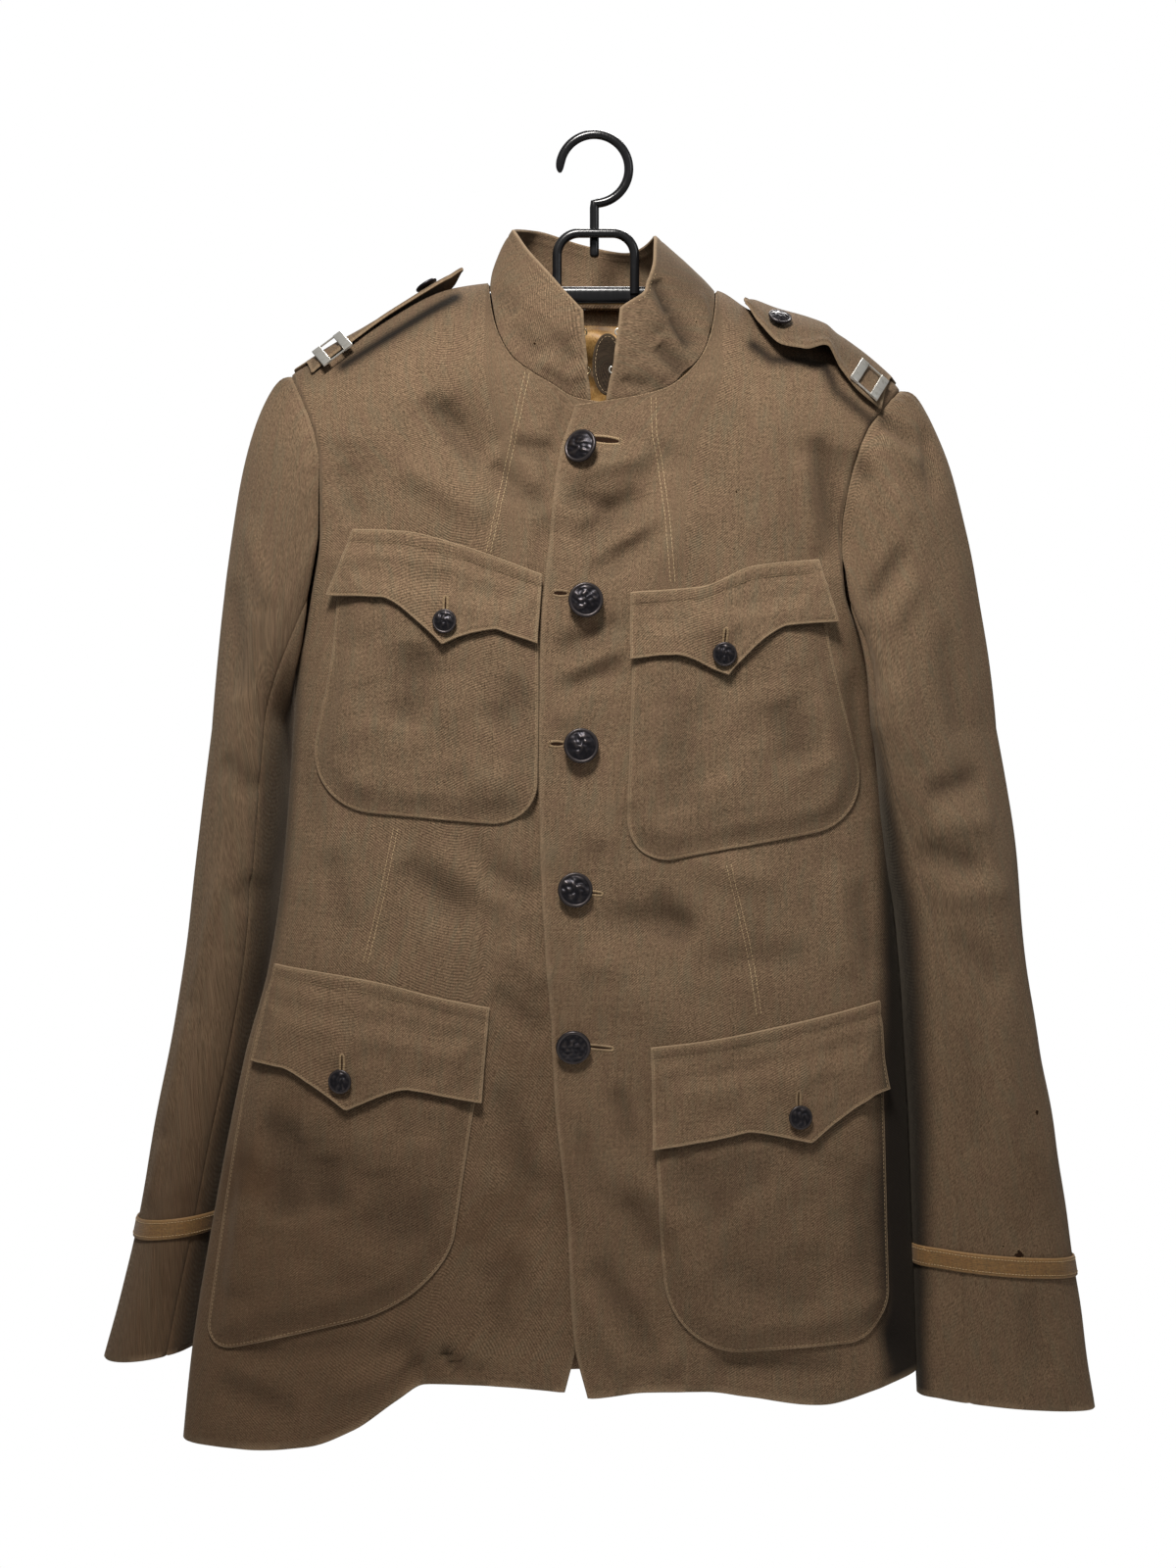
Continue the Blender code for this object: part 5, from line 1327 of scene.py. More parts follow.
def pocketPlaces(name):
    rows, columns = pocketCut["grid"]
    topLeft, topRight, lowLeft, lowRight, roundLeft, roundRight = pocketCut[name]
    topLeft, topRight, lowLeft, lowRight = map(np.array, (topLeft, topRight, lowLeft, lowRight))
    width = np.linalg.norm(lowRight - lowLeft)
    height = np.linalg.norm(lowLeft - topLeft)
    q = 1 - (1 - closeBorders(rows, height)) ** 1.3
    steps = evenSteps((topLeft + lowLeft) / 2, (topRight + lowRight) / 2, 40)
    p = np.interp(closeBorders(columns, width), np.linspace(0, 1, 41), steps)

    def inset(radius):
        into = np.clip((q - 1 + radius / height) / (radius / height), 0, 1)
        return radius / width * (1 - np.sqrt(1 - into ** 2))

    across = inset(roundLeft)[:, None] + (1 - inset(roundLeft) - inset(roundRight))[:, None] * p[None]
    down = q[:, None] + 0 * across
    across, down = across[..., None], down[..., None]
    corner = [relative(point) for point in (topLeft, topRight, lowLeft, lowRight)]
    upper = corner[0] * (1 - across) + corner[1] * across
    lower = corner[2] * (1 - across) + corner[3] * across
    return absolute(upper * (1 - down) + lower * down)[::-1]


def flapPlaces(name):
    rows, columns = flapCut["grid"][1], flapCut["grid"][0]
    top, deepLeft, deepRight, shiftLeft, shiftRight, point, drop = flapCut[name]
    steps = evenSteps(np.array(top[0]), np.array(top[-1]), 40)
    p = np.interp(closeBorders(columns, abs(top[-1][0] - top[0][0])), np.linspace(0, 1, 41), steps)
    q = closeBorders(rows, (deepLeft + deepRight) / 2)[:, None]
    line = roundedLine(top, p)
    near = np.clip(1 - np.abs(p - point) / flapCut["pointReach"], 0, 1)
    depth = deepLeft * (1 - p) + deepRight * p + drop * near ** 1.25
    shift = shiftLeft * (1 - p) + shiftRight * p
    return np.stack([line[:, 0] + shift * q, line[:, 1] - depth * q], axis=-1)[::-1]


# The places all round a grid
def outline(places):
    return np.concatenate([places[0], places[1:, -1], places[-1, -2::-1], places[-2::-1, 0]])


pocketNames = ("upper_left", "upper_right", "lower_left", "lower_right")
pocketGrids = {name: pocketPlaces(name) for name in pocketNames}
flapGrids = {name: flapPlaces(name) for name in pocketNames}


# The groove that a row of stitches draws into the cloth
def groove(distance, at):
    return -pocketCut["stitchSink"] * np.exp(-((distance - at) / pocketCut["stitchWidth"]) ** 2)


# How full a pocket is at a place: nothing at its edges, most in its middle
def pocketSwell(name, x, z):
    border = lineDistance(x, z, outline(pocketGrids[name]))
    folds = np.clip(pocketCut["foldStrength"] * foldHeight(pocketFolds, x, z), -0.0052, 0.004)
    swell = pocketCut["puff"] + folds + 0.0003 * ripple(x, z, 0.02, 6)
    return swell * ease((border - 0.002) / 0.016)


def pocketLift(name, x, z):
    border = lineDistance(x, z, outline(pocketGrids[name]))
    lift = pocketCut["lay"] + pocketCut["thick"] + np.maximum(pocketSwell(name, x, z), -0.0004)
    return lift + groove(border, pocketCut["stitchIn"])


def flapLift(name, x, z):
    top = np.array(flapCut[name][0])
    below = np.interp(x, top[:, 0], top[:, 1]) - z
    border = lineDistance(x, z, outline(flapGrids[name]))
    climbing = pocketCut["lay"] + (pocketCut["thick"] + pocketCut["lay"]) * ease((below - 0.007) / 0.012)
    swell = np.maximum(pocketSwell(name, x, z), 0) * ease((below - 0.012) / 0.012)
    curl = 0
    for across, height, reach, high in flapCut["curls"]:
        curl = curl + high * np.exp(-((x - across) ** 2 + (z - height) ** 2) / reach ** 2)
    band = flapCut["bandHeight"] * ease(below / 0.0012) * ease((flapCut["bandWidth"] + 0.002 - below) / 0.001)
    waves = 0.00022 * ripple(x, z, 0.016, 8) * ease((below - 0.006) / 0.01)
    lower = lineDistance(x, z, flapGrids[name][0])
    waves = waves + flapCut["lip"] * np.exp(-lower / 0.011) * ease((below - 0.012) / 0.02)
    return (climbing + swell + curl + band + waves + flapCut["thick"] + groove(border, pocketCut["stitchIn"])
            + groove(below, flapCut["bandWidth"] + 0.0015))


# A piece laid on a front, with painted shade beside the sleeves and any more painted shade that is given
def laidPiece(name, places, lift, thick, finish, paintedShading=0):
    x, z = places[..., 0], places[..., 1]
    grid = bodyPoint(x, z, True, lift)
    piece = clothShell(name, grid, bodyNormal(x, z), thick, finish,
                       shade=np.clip(sideShade(x, z) + paintedShading, 0, 1))
    declareCloth(piece, grid)


def sewnRow(run, lift, seed):
    lengths = runLengths(run)
    at = np.linspace(0, lengths[-1], max(8, int(lengths[-1] / 0.0012)))
    x, z = np.interp(at, lengths, run[:, 0]), np.interp(at, lengths, run[:, 1])
    return stitchRow(bodyPoint(x, z, True, lift(x, z) - 0.00004), bodyNormal(x, z), seed)


def makePockets():
    for number, name in enumerate(pocketGrids):
        places, flap = pocketGrids[name], flapGrids[name]
        x, z = places[..., 0], places[..., 1]
        beneath = lineDistance(x, z, flap[0])
        # Painted shade in the pockets' hollows, and a painted shadow under each flap
        paintedShading = hollowShade(foldHeight(pocketFolds, x, z), 0.0028, paintedShadeLook["pocketFolds"])
        paintedShading = paintedShading + paintedShadeLook["underFlaps"] * np.exp(-(beneath / 0.0035) ** 2)
        lift = pocketLift(name, x, z)
        laidPiece(f"pocket_{name}", places, lift, pocketCut["thick"], pocketWool, paintedShading)
        laidPiece(f"flap_{name}", flap, flapLift(name, flap[..., 0], flap[..., 1]),
                  flapCut["thick"], flapWool)
        around = np.concatenate([places[::-1, 0], places[0, 1:], places[1:, -1]])
        parts = [sewnRow(insetLine(around, pocketCut["stitchIn"])[6:-6],
                         lambda x, z: pocketLift(name, x, z), number)]
        edge = np.concatenate([flap[::-1, 0], flap[0, 1:], flap[1:, -1]])

        def liftOfFlap(x, z):
            return flapLift(name, x, z)

        parts.append(sewnRow(insetLine(edge, pocketCut["stitchIn"])[4:-4], liftOfFlap, 10 + number))
        top = flap[-1]
        for drop in (0.0015, flapCut["bandWidth"] + 0.0015):
            parts.append(sewnRow((top - [0, drop])[2:-2], liftOfFlap, 30 + number))
        newObject(f"stitches_{name}", *joined(parts), topThread)


makePockets()
print("pockets and flaps built")


# Buttons and buttonholes

buttonCut = {
    # diameter, mesh points around, circles on the face
    "large": (0.0229, 72, 26),
    "small": (0.0159, 48, 18),
    "height": 0.36,  # of the diameter, shank included
    # part of the radius, part of the height: shank, back, rim and the rim's inner side
    "profile": ((0.22, 0.0), (0.22, 0.26), (0.6, 0.3), (0.9, 0.36), (0.985, 0.46), (1.0, 0.58),
                (0.975, 0.69), (0.92, 0.735), (0.87, 0.72), (0.84, 0.7)),
    "dome": 0.22,  # how much the face rises to its middle, of the height
    "relief": 0.03,  # depth of the worn relief, of the height
    # across, height, turn about the upright, tilt
    "front": ((-0.007, -0.218, -0.42, 0.1), (-0.006, -0.318, 0.06, 0.02), (-0.009, -0.413, 0.04, 0.03),
              (-0.013, -0.507, -0.03, 0.02), (-0.014, -0.608, 0.05, -0.22)),
    "flaps": {
        "upper_left": (-0.0965, -0.3325),
        "upper_right": (0.085, -0.3525),
        "lower_left": (-0.164, -0.632),
        "lower_right": (0.1325, -0.6555),
    },
}


# A turned button whose face carries a low worn relief inside its rim
def makeButton(name, place, normal, size, seed):
    right = unit(np.cross([0.0, 0.0, 1.0], normal) + [1e-9, 0, 0])
    up = np.cross(normal, right)
    diameter, around, circles = buttonCut[size]
    height, radius = diameter * buttonCut["height"], diameter / 2
    profile = [list(row) for row in buttonCut["profile"]]
    edge = profile[-1]
    inner = [[edge[0] * (1 - k / circles), None] for k in range(1, circles)] + [[0.012, None]]
    turns = fullTurn(around)
    rings, worn = [], []
    for part, tall in profile + inner:
        if tall is None:
            across, rise = part * np.cos(turns), part * np.sin(turns)
            swirl = (ripple(across + 3 * rise, rise - across, 1.1, seed) * 0.55
                     + ripple(across, rise, 0.34, seed + 1) * 0.75)
            petals = np.cos(5 * turns + 9 * part) * np.exp(-((part - 0.42) / 0.26) ** 2)
            bumps = (swirl + petals) * ease((edge[0] - part) / 0.1) * buttonCut["relief"]
            tall = edge[1] - 0.03 * ease((edge[0] - part) / 0.05)
            tall = tall + buttonCut["dome"] * (1 - (part / edge[0]) ** 2) + bumps
            worn.append(np.clip(bumps / buttonCut["relief"] * 0.5, 0, 1))
        else:
            worn.append(np.full(around, math.exp(-((tall - 0.72) / 0.05) ** 2)))
        circle = radius * part * (np.cos(turns)[:, None] * right + np.sin(turns)[:, None] * up)
        rings.append(place + circle + normal * (0.0003 + np.asarray(tall) * height)[..., None])
    points, faces = ringSolid(rings)
    piece = newObject(name, points, faces, bronze, None, np.concatenate(worn), 60)
    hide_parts(name)


# A normal turned about the upright and tilted up
def turned(normal, turn, tilt):
    c, s = math.cos(turn), math.sin(turn)
    normal = np.array([normal[0] * c - normal[1] * s, normal[0] * s + normal[1] * c, normal[2]])
    return unit(normal + np.array([0.0, 0.0, tilt]))


def makeFrontButtons():
    for number, (x, z, turn, tilt) in enumerate(buttonCut["front"], start=1):
        x, z = np.array(x), np.array(z)
        place = bodyPoint(x, z, True, 0.0001)
        makeButton(f"button_{number}", place, turned(bodyNormal(x, z), turn, tilt), "large", 40 + number)
    for name, (x, z) in buttonCut["flaps"].items():
        x, z = np.array(x), np.array(z)
        place = bodyPoint(x, z, True, flapLift(name, x, z))
        makeButton(f"button_flap_{name}", place, bodyNormal(x, z), "small", 60)


makeFrontButtons()
print("buttons built")

buttonholes = {
    "thread": 0.0003,
    # panel or flap, from across, from height, to across, to height, half width of the slit
    "slits": (
        ("front", -0.003, -0.2112, 0.0158, -0.2134, 0.0017),
        ("front", -0.0265, -0.313, -0.018, -0.3134, 0.0011),
        ("front", -0.0285, -0.4115, -0.0205, -0.4117, 0.001),
        ("front", -0.008, -0.508, 0.0042, -0.5095, 0.0005),
        ("front", -0.005, -0.609, 0.0112, -0.6105, 0.0006),
        ("upper_left", -0.0965, -0.316, -0.0965, -0.327, 0.0004),
        ("upper_right", 0.085, -0.336, 0.085, -0.347, 0.0004),
        ("lower_left", -0.164, -0.616, -0.164, -0.627, 0.0004),
        ("lower_right", 0.1325, -0.6395, 0.1325, -0.65, 0.0004),
    ),
}


def surfaceAt(where, x, z, lift=0.0):
    if where == "front":
        return bodyPoint(x, z, True, lift)
    return bodyPoint(x, z, True, flapLift(where, x, z) + lift)


# A flat patch of painted shade that follows the cloth, from a line of places round it
def darkPatch(where, border):
    border = np.asarray(border)
    middle = border.mean(axis=0)
    rings = [middle + (border - middle) * part for part in (1.0, 0.6, 0.15)]
    points = np.concatenate([surfaceAt(where, ring[:, 0], ring[:, 1], 0.00006) for ring in rings])
    count = len(border)
    return points, ringFaces(3, count) + [[2 * count + i for i in range(count)]]


# Half width of a slit along its length
def slitWidth(half, t):
    return half * (0.35 + 0.65 * np.sin(np.pi * np.clip(t * 0.94 + 0.06, 0, 1)) ** 0.6)


# Threads that lie over the edge of a slit, level with the cloth
def purl(where, places, across, length, seed):
    facing = bodyNormal(places[:, 0], places[:, 1])
    at = surfaceAt(where, places[:, 0], places[:, 1])
    across = unit(across - facing * (across * facing).sum(axis=1)[:, None])
    return threads(at, across, facing, length, buttonholes["thread"], seed)


def makeButtonholes():
    slits, purls = [], []
    for number, (where, ax, az, bx, bz, half) in enumerate(buttonholes["slits"]):
        start, end = np.array([ax, az]), np.array([bx, bz])
        along = unit(end - start)
        side = np.array([-along[1], along[0]])
        t = np.linspace(0, 1, 15)
        wide = slitWidth(half, t)
        line = start + (end - start) * t[:, None]
        border = np.concatenate([line + side * wide[:, None], (line - side * wide[:, None])[::-1]])
        slits.append(darkPatch(where, border))
        length = np.linalg.norm(end - start)
        for way in (1, -1):
            count = max(6, int(length / 0.00052))
            t = np.linspace(0.0, 1.0, count)
            places = start + (end - start) * t[:, None] + side * way * (slitWidth(half, t) + 0.0008)[:, None]
            across = np.broadcast_to(np.array([side[0], 0.0, side[1]]), (count, 3))
            purls.append(purl(where, places, across, 0.0017, 70 + number))
        for tip, way in ((start, -1), (end, 1)):
            turns = np.linspace(-0.5, 0.5, 7) * math.pi
            bend = along * np.cos(turns)[:, None] * way + side * np.sin(turns)[:, None]
            places = tip + bend * (half + 0.0006)
            out = places - tip
            across = unit(np.stack([out[:, 0], 0 * turns, out[:, 1]], axis=-1))
            purls.append(purl(where, places, across, 0.0014, 90 + number))
    newObject("buttonhole_slits", *joined(slits), holeShade)
    newObject("buttonhole_threads", *joined(purls), holeThread)


makeButtonholes()
print("buttonholes built")

# Collar

collarCut = {
    "rows": 44,
    "thick": 0.0024,
    # way round, across, depth, height
    "top": (
        (0.0, -0.0085, -0.06, -0.1265), (0.08, -0.027, -0.053, -0.105), (0.16, -0.044, -0.034, -0.083),
        (0.25, -0.0555, -0.004, -0.0625), (0.36, -0.04, 0.028, -0.0575), (0.5, -0.004, 0.043, -0.0655),
        (0.64, 0.026, 0.032, -0.071), (0.75, 0.042, 0.004, -0.065), (0.84, 0.041, -0.03, -0.085),
        (0.92, 0.035, -0.052, -0.109), (1.0, 0.018, -0.06, -0.125),
    ),
    "ends": (-0.0035, 0.0085),
    "bulge": 0.003,
    "dentStrength": 1.5,
    "step": 0.0016,
    # on the collar's front half
    "dents": metres((
        (41, -103, 50, -129, 5.2, -3.6), (49, -127, 64, -149, 5.2, -3.4), (28, -105, 40, -141, 5.8, 2.4),
        (64, -109, 74, -138, 5.2, 2.2), (40, -149, 63, -169, 5.2, -3), (28, -158, 45, -174, 4.5, 1.6),
        (18, -172, 37, -178, 3.9, -1.6), (29, -91, 36, -105, 3.9, -1.6), (-46, -115, -11, -144, 7.1, 1.4),
        (-56, -134, -30, -162, 6.4, -1.5), (-64, -105, -49, -127, 5.8, -1.6),
        (-30, -144, -7, -162, 5.8, -1.4), (-40, -155, -11, -174, 4.5, 1.2),
        (-13, -147, -8, -174, 3.2, 1.2), (12, -149, 18, -174, 3.2, 1.2),
    )),
}


# The rest of a line from where it passes a place across
def startAt(line, x):
    k = next(i for i in range(len(line) - 1) if (line[i][0] - x) * (line[i + 1][0] - x) <= 0)
    part = (x - line[k][0]) / (line[k + 1][0] - line[k][0])
    return np.concatenate([[line[k] * (1 - part) + line[k + 1] * part], line[k + 1:]])


def makeCollar():
    neck = frontCut["neckColumns"] + 1
    side = backCut["shoulderColumns"]
    left, right = fronts["front_left"][-1, :neck], fronts["front_right"][-1, :neck]
    behind = back[-1, side:-side]
    left = startAt(left, collarCut["ends"][0])
    right = startAt(right, collarCut["ends"][1])
    base = np.concatenate([left[:-1], behind, right[::-1][1:]])
    inward = unit((base.mean(axis=0) - base) * [1, 1, 0])
    base = base + inward * collarCut["step"] + [0, 0, 0.0006]
    lengths = runLengths(base)
    roundTo = lengths / lengths[-1]
    even = np.linspace(0, 1, 200)
    base = np.stack([np.interp(even, roundTo, base[:, i]) for i in range(3)], axis=-1)
    top = np.stack([readCurve(collarCut["top"], i, even) for i in (1, 2, 3)], axis=-1)
    middle = (base.mean(axis=0) + top.mean(axis=0)) / 2
    t = np.linspace(0, 1, collarCut["rows"] + 1)[:, None, None]
    grid = base * (1 - t) + top * t
    away = unit((grid - middle) * [1, 1, 0])
    x, z = grid[..., 0], grid[..., 2]
    shown = ease((-grid[..., 1] - 0.005) / 0.02)
    swell = collarCut["bulge"] * 4 * t[..., 0] * (1 - t[..., 0])
    dents = (collarCut["dentStrength"] * foldHeight(collarCut["dents"], x, z) * shown
             + 0.0003 * ripple(even[None, :] * 0.5 + 0 * x, t[..., 0] * 0.045, 0.03, 12))
    grid = grid + away * (swell + dents)[..., None]
    normal = -gridNormals(grid)
    normal[0] = unit(normal[0] * [1, 1, 0])
    edges = borderDistance(grid, ("start", "end", "top"))
    grid = grid + normal * (-0.0003 * np.exp(-((edges - 0.0062) / 0.0012) ** 2))[..., None]
    # Painted shade in the collar's dents, and over its right side, away from the lamp
    shade = hollowShade(dents, 0.005, paintedShadeLook["collarDents"])
    shade = shade + paintedShadeLook["collarRight"] * ease((x - 0.01) / 0.03) * shown
    piece = clothShell("collar", grid, normal, collarCut["thick"], collarWool,
                       borders=("start", "end", "top"), shade=shade)
    declareCloth(piece, grid)
    rows = []
    for first, last in ((2, 26), (-26, -2)):  # worn pricks along both slanting edges
        line, way = grid[-3, first:last], normal[-3, first:last]
        rows.append(stitchRow(line, way, 50, pitch=0.0042, length=0.0009))
    newObject("collar_edge_pricks", *joined(rows), seamThread)
    return grid


collar = makeCollar()

fastening = {
    "tabSize": (0.019, 0.04),  # width and height
    "tabAt": (0.0085, -0.162),  # across, height
    "tabThick": 0.0012,
    "wire": 0.001,  # its diameter
    "loop": 0.0022,  # its radius
    "heights": (-0.141, -0.166),
}


# A point of the collar's first or last column at a height
def endPoint(end, height):
    column = collar[:, end]
    return np.array([np.interp(height, column[:, 2], column[:, i]) for i in range(3)])


def makeFastening():
    acrossTab, highTab = fastening["tabSize"]
    depth = endPoint(-1, fastening["tabAt"][1])[1] + collarCut["thick"] + 0.0022
    turns = fullTurn(72)
    parts = np.concatenate([[0.004], np.linspace(0.08, 0.9, 16), [0.93, 0.96, 0.985, 1.0]])[:, None]
    x = fastening["tabAt"][0] + acrossTab / 2 * parts * np.cos(turns)
    z = fastening["tabAt"][1] + highTab / 2 * parts * np.sin(turns)
    y = depth + 0 * x + 0.0003 * ripple(x, z, 0.012, 15)
    grid = np.stack([x, y, z], axis=-1)
    facing = np.broadcast_to(np.array([0.0, -1.0, 0.0]), grid.shape)
    piece = clothShell("collar_tab", grid, facing, fastening["tabThick"], tabWool, ring=True,
                       borders=("top",))
    flatSizes["collar_tab"] = (round(acrossTab * 1000), round(highTab * 1000), 6)
    halfWide, halfHigh = acrossTab / 2 - 0.0016, highTab / 2 - 0.0016
    oval = np.stack([fastening["tabAt"][0] + halfWide * np.cos(turns), depth - 0.0001 + 0 * turns,
                     fastening["tabAt"][1] + halfHigh * np.sin(turns)], axis=-1)
    normals = np.broadcast_to(np.array([0.0, -1.0, 0.0]), oval.shape)
    points, faces = stitchRow(np.concatenate([oval, oval[:1]]), np.concatenate([normals, normals[:1]]), 5)
    newObject("tab_stitches", points, faces, topThread)
    for number, height in enumerate(fastening["heights"], start=1):
        for kind, end, way, finish in (("eye", 0, 1, wireMetal), ("hook", -1, -1, silver)):
            turn = np.linspace(-0.42 * math.pi, 0.42 * math.pi, 17)
            start = fastening["wire"] / 2 + 0.0003 - fastening["loop"] * math.cos(turn[0])
            centre = endPoint(end, height) + [way * start, collarCut["thick"] / 2, 0]
            path = np.stack([centre[0] + way * fastening["loop"] * np.cos(turn), centre[1] + 0 * turn,
                             centre[2] + fastening["loop"] * np.sin(turn)], axis=-1)
            points, faces = barAlong(path, fastening["wire"] / 2, 14)
            piece = newObject(f"collar_{kind}_{number}", points, faces, finish)
            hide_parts(f"collar_{kind}_{number}")


makeFastening()
print("collar built")

# Sleeves

sleeveCut = {
    "capLevel": -0.4,
    "capRings": 44,
    "sides": 126,
    "levels": 96,
    "gap": 0.001,
    "slantLeft": 0.004,
    "slantRight": 0.005,
    "foldStrength": 1.7,
    # height, outer, inner, front, back, lean of the front towards the body
    "left": metres((
        (-400, -262, -207, -30, 80, 0), (-490, -274, -214, -22, 88, 0), (-557, -283, -221, -14, 92, 0),
        (-606, -291, -229, -10, 90, 0), (-667, -303, -242, -10, 86, 0), (-741, -316, -257, -10, 82, 0),
        (-777, -325, -264, -10, 80, 0), (-826, -337, -273, -12, 76, 0),
    )),
    "right": metres((  # height, outer, inner, front, back, lean of the front towards the body
        (-400, 271, 196, -64, 45, 34), (-440, 279, 197, -60, 45, 24), (-485, 286, 199.5, -56, 45, 12),
        (-536, 290, 206.5, -53, 44, 4), (-613, 301, 211, -50, 41, 0), (-668, 311, 215, -48, 36, 0),
        (-745, 322, 217, -45, 28, 0), (-803, 330, 219, -42, 22, 0), (-852, 337, 220.5, -40, 18, 0),
    )),
    # as seen from the front
    "foldsFront": metres((
        (-249.7, -491, -272.5, -587, 4.5, 1.6), (-272.5, -587, -291.6, -676.5, 4.5, 1.8),
        (-291.6, -676.5, -302.2, -724.2, 4.5, 1.4), (-244, -300, -236, -380, 7, -1.8),
        (-234, -260, -215, -320, 6, 1.4), (-250, -420, -225, -445, 8, -1.6),
        (-242, -520, -228, -500, 8, -1.2), (178, -184, 216, -213, 5.3, -3),
        (188, -207, 219, -229, 5.9, 1.8), (171, -218, 183, -241, 4, -2.6),
        (208, -279, 179, -320, 5.9, -2.8), (217, -299, 188, -340, 7.3, 1.8),
        (196, -240, 211, -266, 5.9, 1.4), (221, -197, 227, -246, 4.6, -1.8),
        (175, -332, 187, -385, 5.9, -1.4), (194, -365, 213, -424, 8.6, 1.4),
        (230, -332, 243, -411, 7.9, -1.3), (217, -446, 260, -432, 7.3, -2.4),
        (210, -482, 260, -493, 8.6, -2.6), (220, -465, 266, -463, 7.9, 1.8),
        (227, -513, 279, -507, 8.6, 1.6), (233, -537, 273, -570, 9.2, -1.4),
        (243, -596, 253, -688, 8.6, -1.2), (266, -570, 279, -675, 8.6, 1.2),
        (233, -774, 230, -834, 7.9, 1.4), (286, -774, 299, -834, 8.6, -1.2),
    )),
    "foldsBack": metres((
        (210, -250, 240, -400, 10, -1.8), (220, -470, 270, -485, 8, -2.2), (230, -520, 290, -505, 8, 1.6),
        (-215, -250, -245, -390, 10, -1.8), (-220, -460, -280, -480, 8, -2),
        (-240, -600, -290, -590, 10, 1.4),
    )),
    "braidWidth": 0.0127,
    "braidThick": 0.0012,
    "braidLeft": -0.738,
    "braidRight": -0.757,
}


# Points round the armhole; turn 0 is the shoulder tip, a quarter is the front
def armholeLine(frontEdge, backEdge, turns):
    points = []
    for turn in turns:
        edge = frontEdge if turn <= math.pi else backEdge
        low, high = edge[0, 2], edge[-1, 2]
        height = high + (low - high) * (1 - math.cos(turn)) / 2
        points.append([np.interp(height, edge[:, 2], edge[:, i]) for i in range(3)])
    return np.array(points)


# One ring of the sleeve: rounded, and leaning where the table says so
def sleeveRing(table, side, slant, z, turns):
    outer, inner, front, back, lean = (readCurve(table, i, z) for i in range(1, 6))
    low = table[-1][0]
    lowPart = ease((sleeveCut["capLevel"] - z) / (sleeveCut["capLevel"] - low))
    middleX, middleY = (outer + inner) / 2, (front + back) / 2
    halfX, halfY = abs(outer - inner) / 2, (back - front) / 2
    x = middleX + side * halfX * np.cos(turns) - side * lean * np.maximum(np.sin(turns), 0)
    y = middleY - halfY * np.sin(turns)
    return np.stack([x, y, z - slant * lowPart * np.cos(turns)], axis=-1)


def sleeveGrid(side, hole):
    table = sleeveCut["left"] if side < 0 else sleeveCut["right"]
    slant = sleeveCut["slantLeft"] if side < 0 else sleeveCut["slantRight"]
    turns = fullTurn(sleeveCut["sides"])
    start = hole + np.array([side * sleeveCut["gap"], 0, 0])
    end = sleeveRing(table, side, slant, sleeveCut["capLevel"], turns)
    crown = ((1 + np.cos(turns)) / 2)[:, None]
    out = np.array([side, 0.0, 0.0]) * (0.006 + 0.105 * crown ** 1.2)
    leave = out + np.array([0.0, 0.0, -1.0]) * (0.02 + 0.06 * (1 - crown))
    leave[:, 1] -= 0.06 * np.sin(turns) * (1 - crown[:, 0])
    arrive = np.array([side * 0.01, 0.0, -0.15]) * (0.45 + 0.55 * crown)
    rows = []
    for t in np.linspace(0, 1, sleeveCut["capRings"] + 1):
        rows.append(start * (1 + 2 * t) * (1 - t) ** 2 + leave * t * (1 - t) ** 2
                    + end * t * t * (3 - 2 * t) + arrive * t * t * (t - 1))
    for z in np.linspace(sleeveCut["capLevel"], table[-1][0], sleeveCut["levels"] + 1)[1:]:
        rows.append(sleeveRing(table, side, slant, z, turns))
    return np.array(rows), table, slant


def sleeveFolds(grid, normal):
    x, z = grid[..., 0], grid[..., 2]
    ahead = ease((-normal[..., 1] + 0.1) / 0.5)
    behind = ease((normal[..., 1] + 0.1) / 0.5)
    rings = np.arange(len(grid))[:, None] / 4.0
    fade = ease(rings) + 0 * x
    folds = foldHeight(sleeveCut["foldsFront"], x, z) * ahead
    folds = folds + foldHeight(sleeveCut["foldsBack"], x, z) * behind
    around = fullTurn(grid.shape[1])[None, :]
    pucker = 0.0007 * np.sin(around * 34) * np.exp(-((np.arange(len(grid))[:, None] - 3) / 3.0) ** 2)
    pucker = pucker * ease(np.cos(around) + 0.3)
    rest = 0.0032 * ease((-normal[..., 0] - 0.55) / 0.35) * ease((-0.42 - z) / 0.05) * (x > 0)
    uneven = 0.0004 * fade * ripple(x + grid[..., 1], z, 0.05, 17)
    return sleeveCut["foldStrength"] * folds * fade + pucker + rest + uneven


sleeveForms = {}


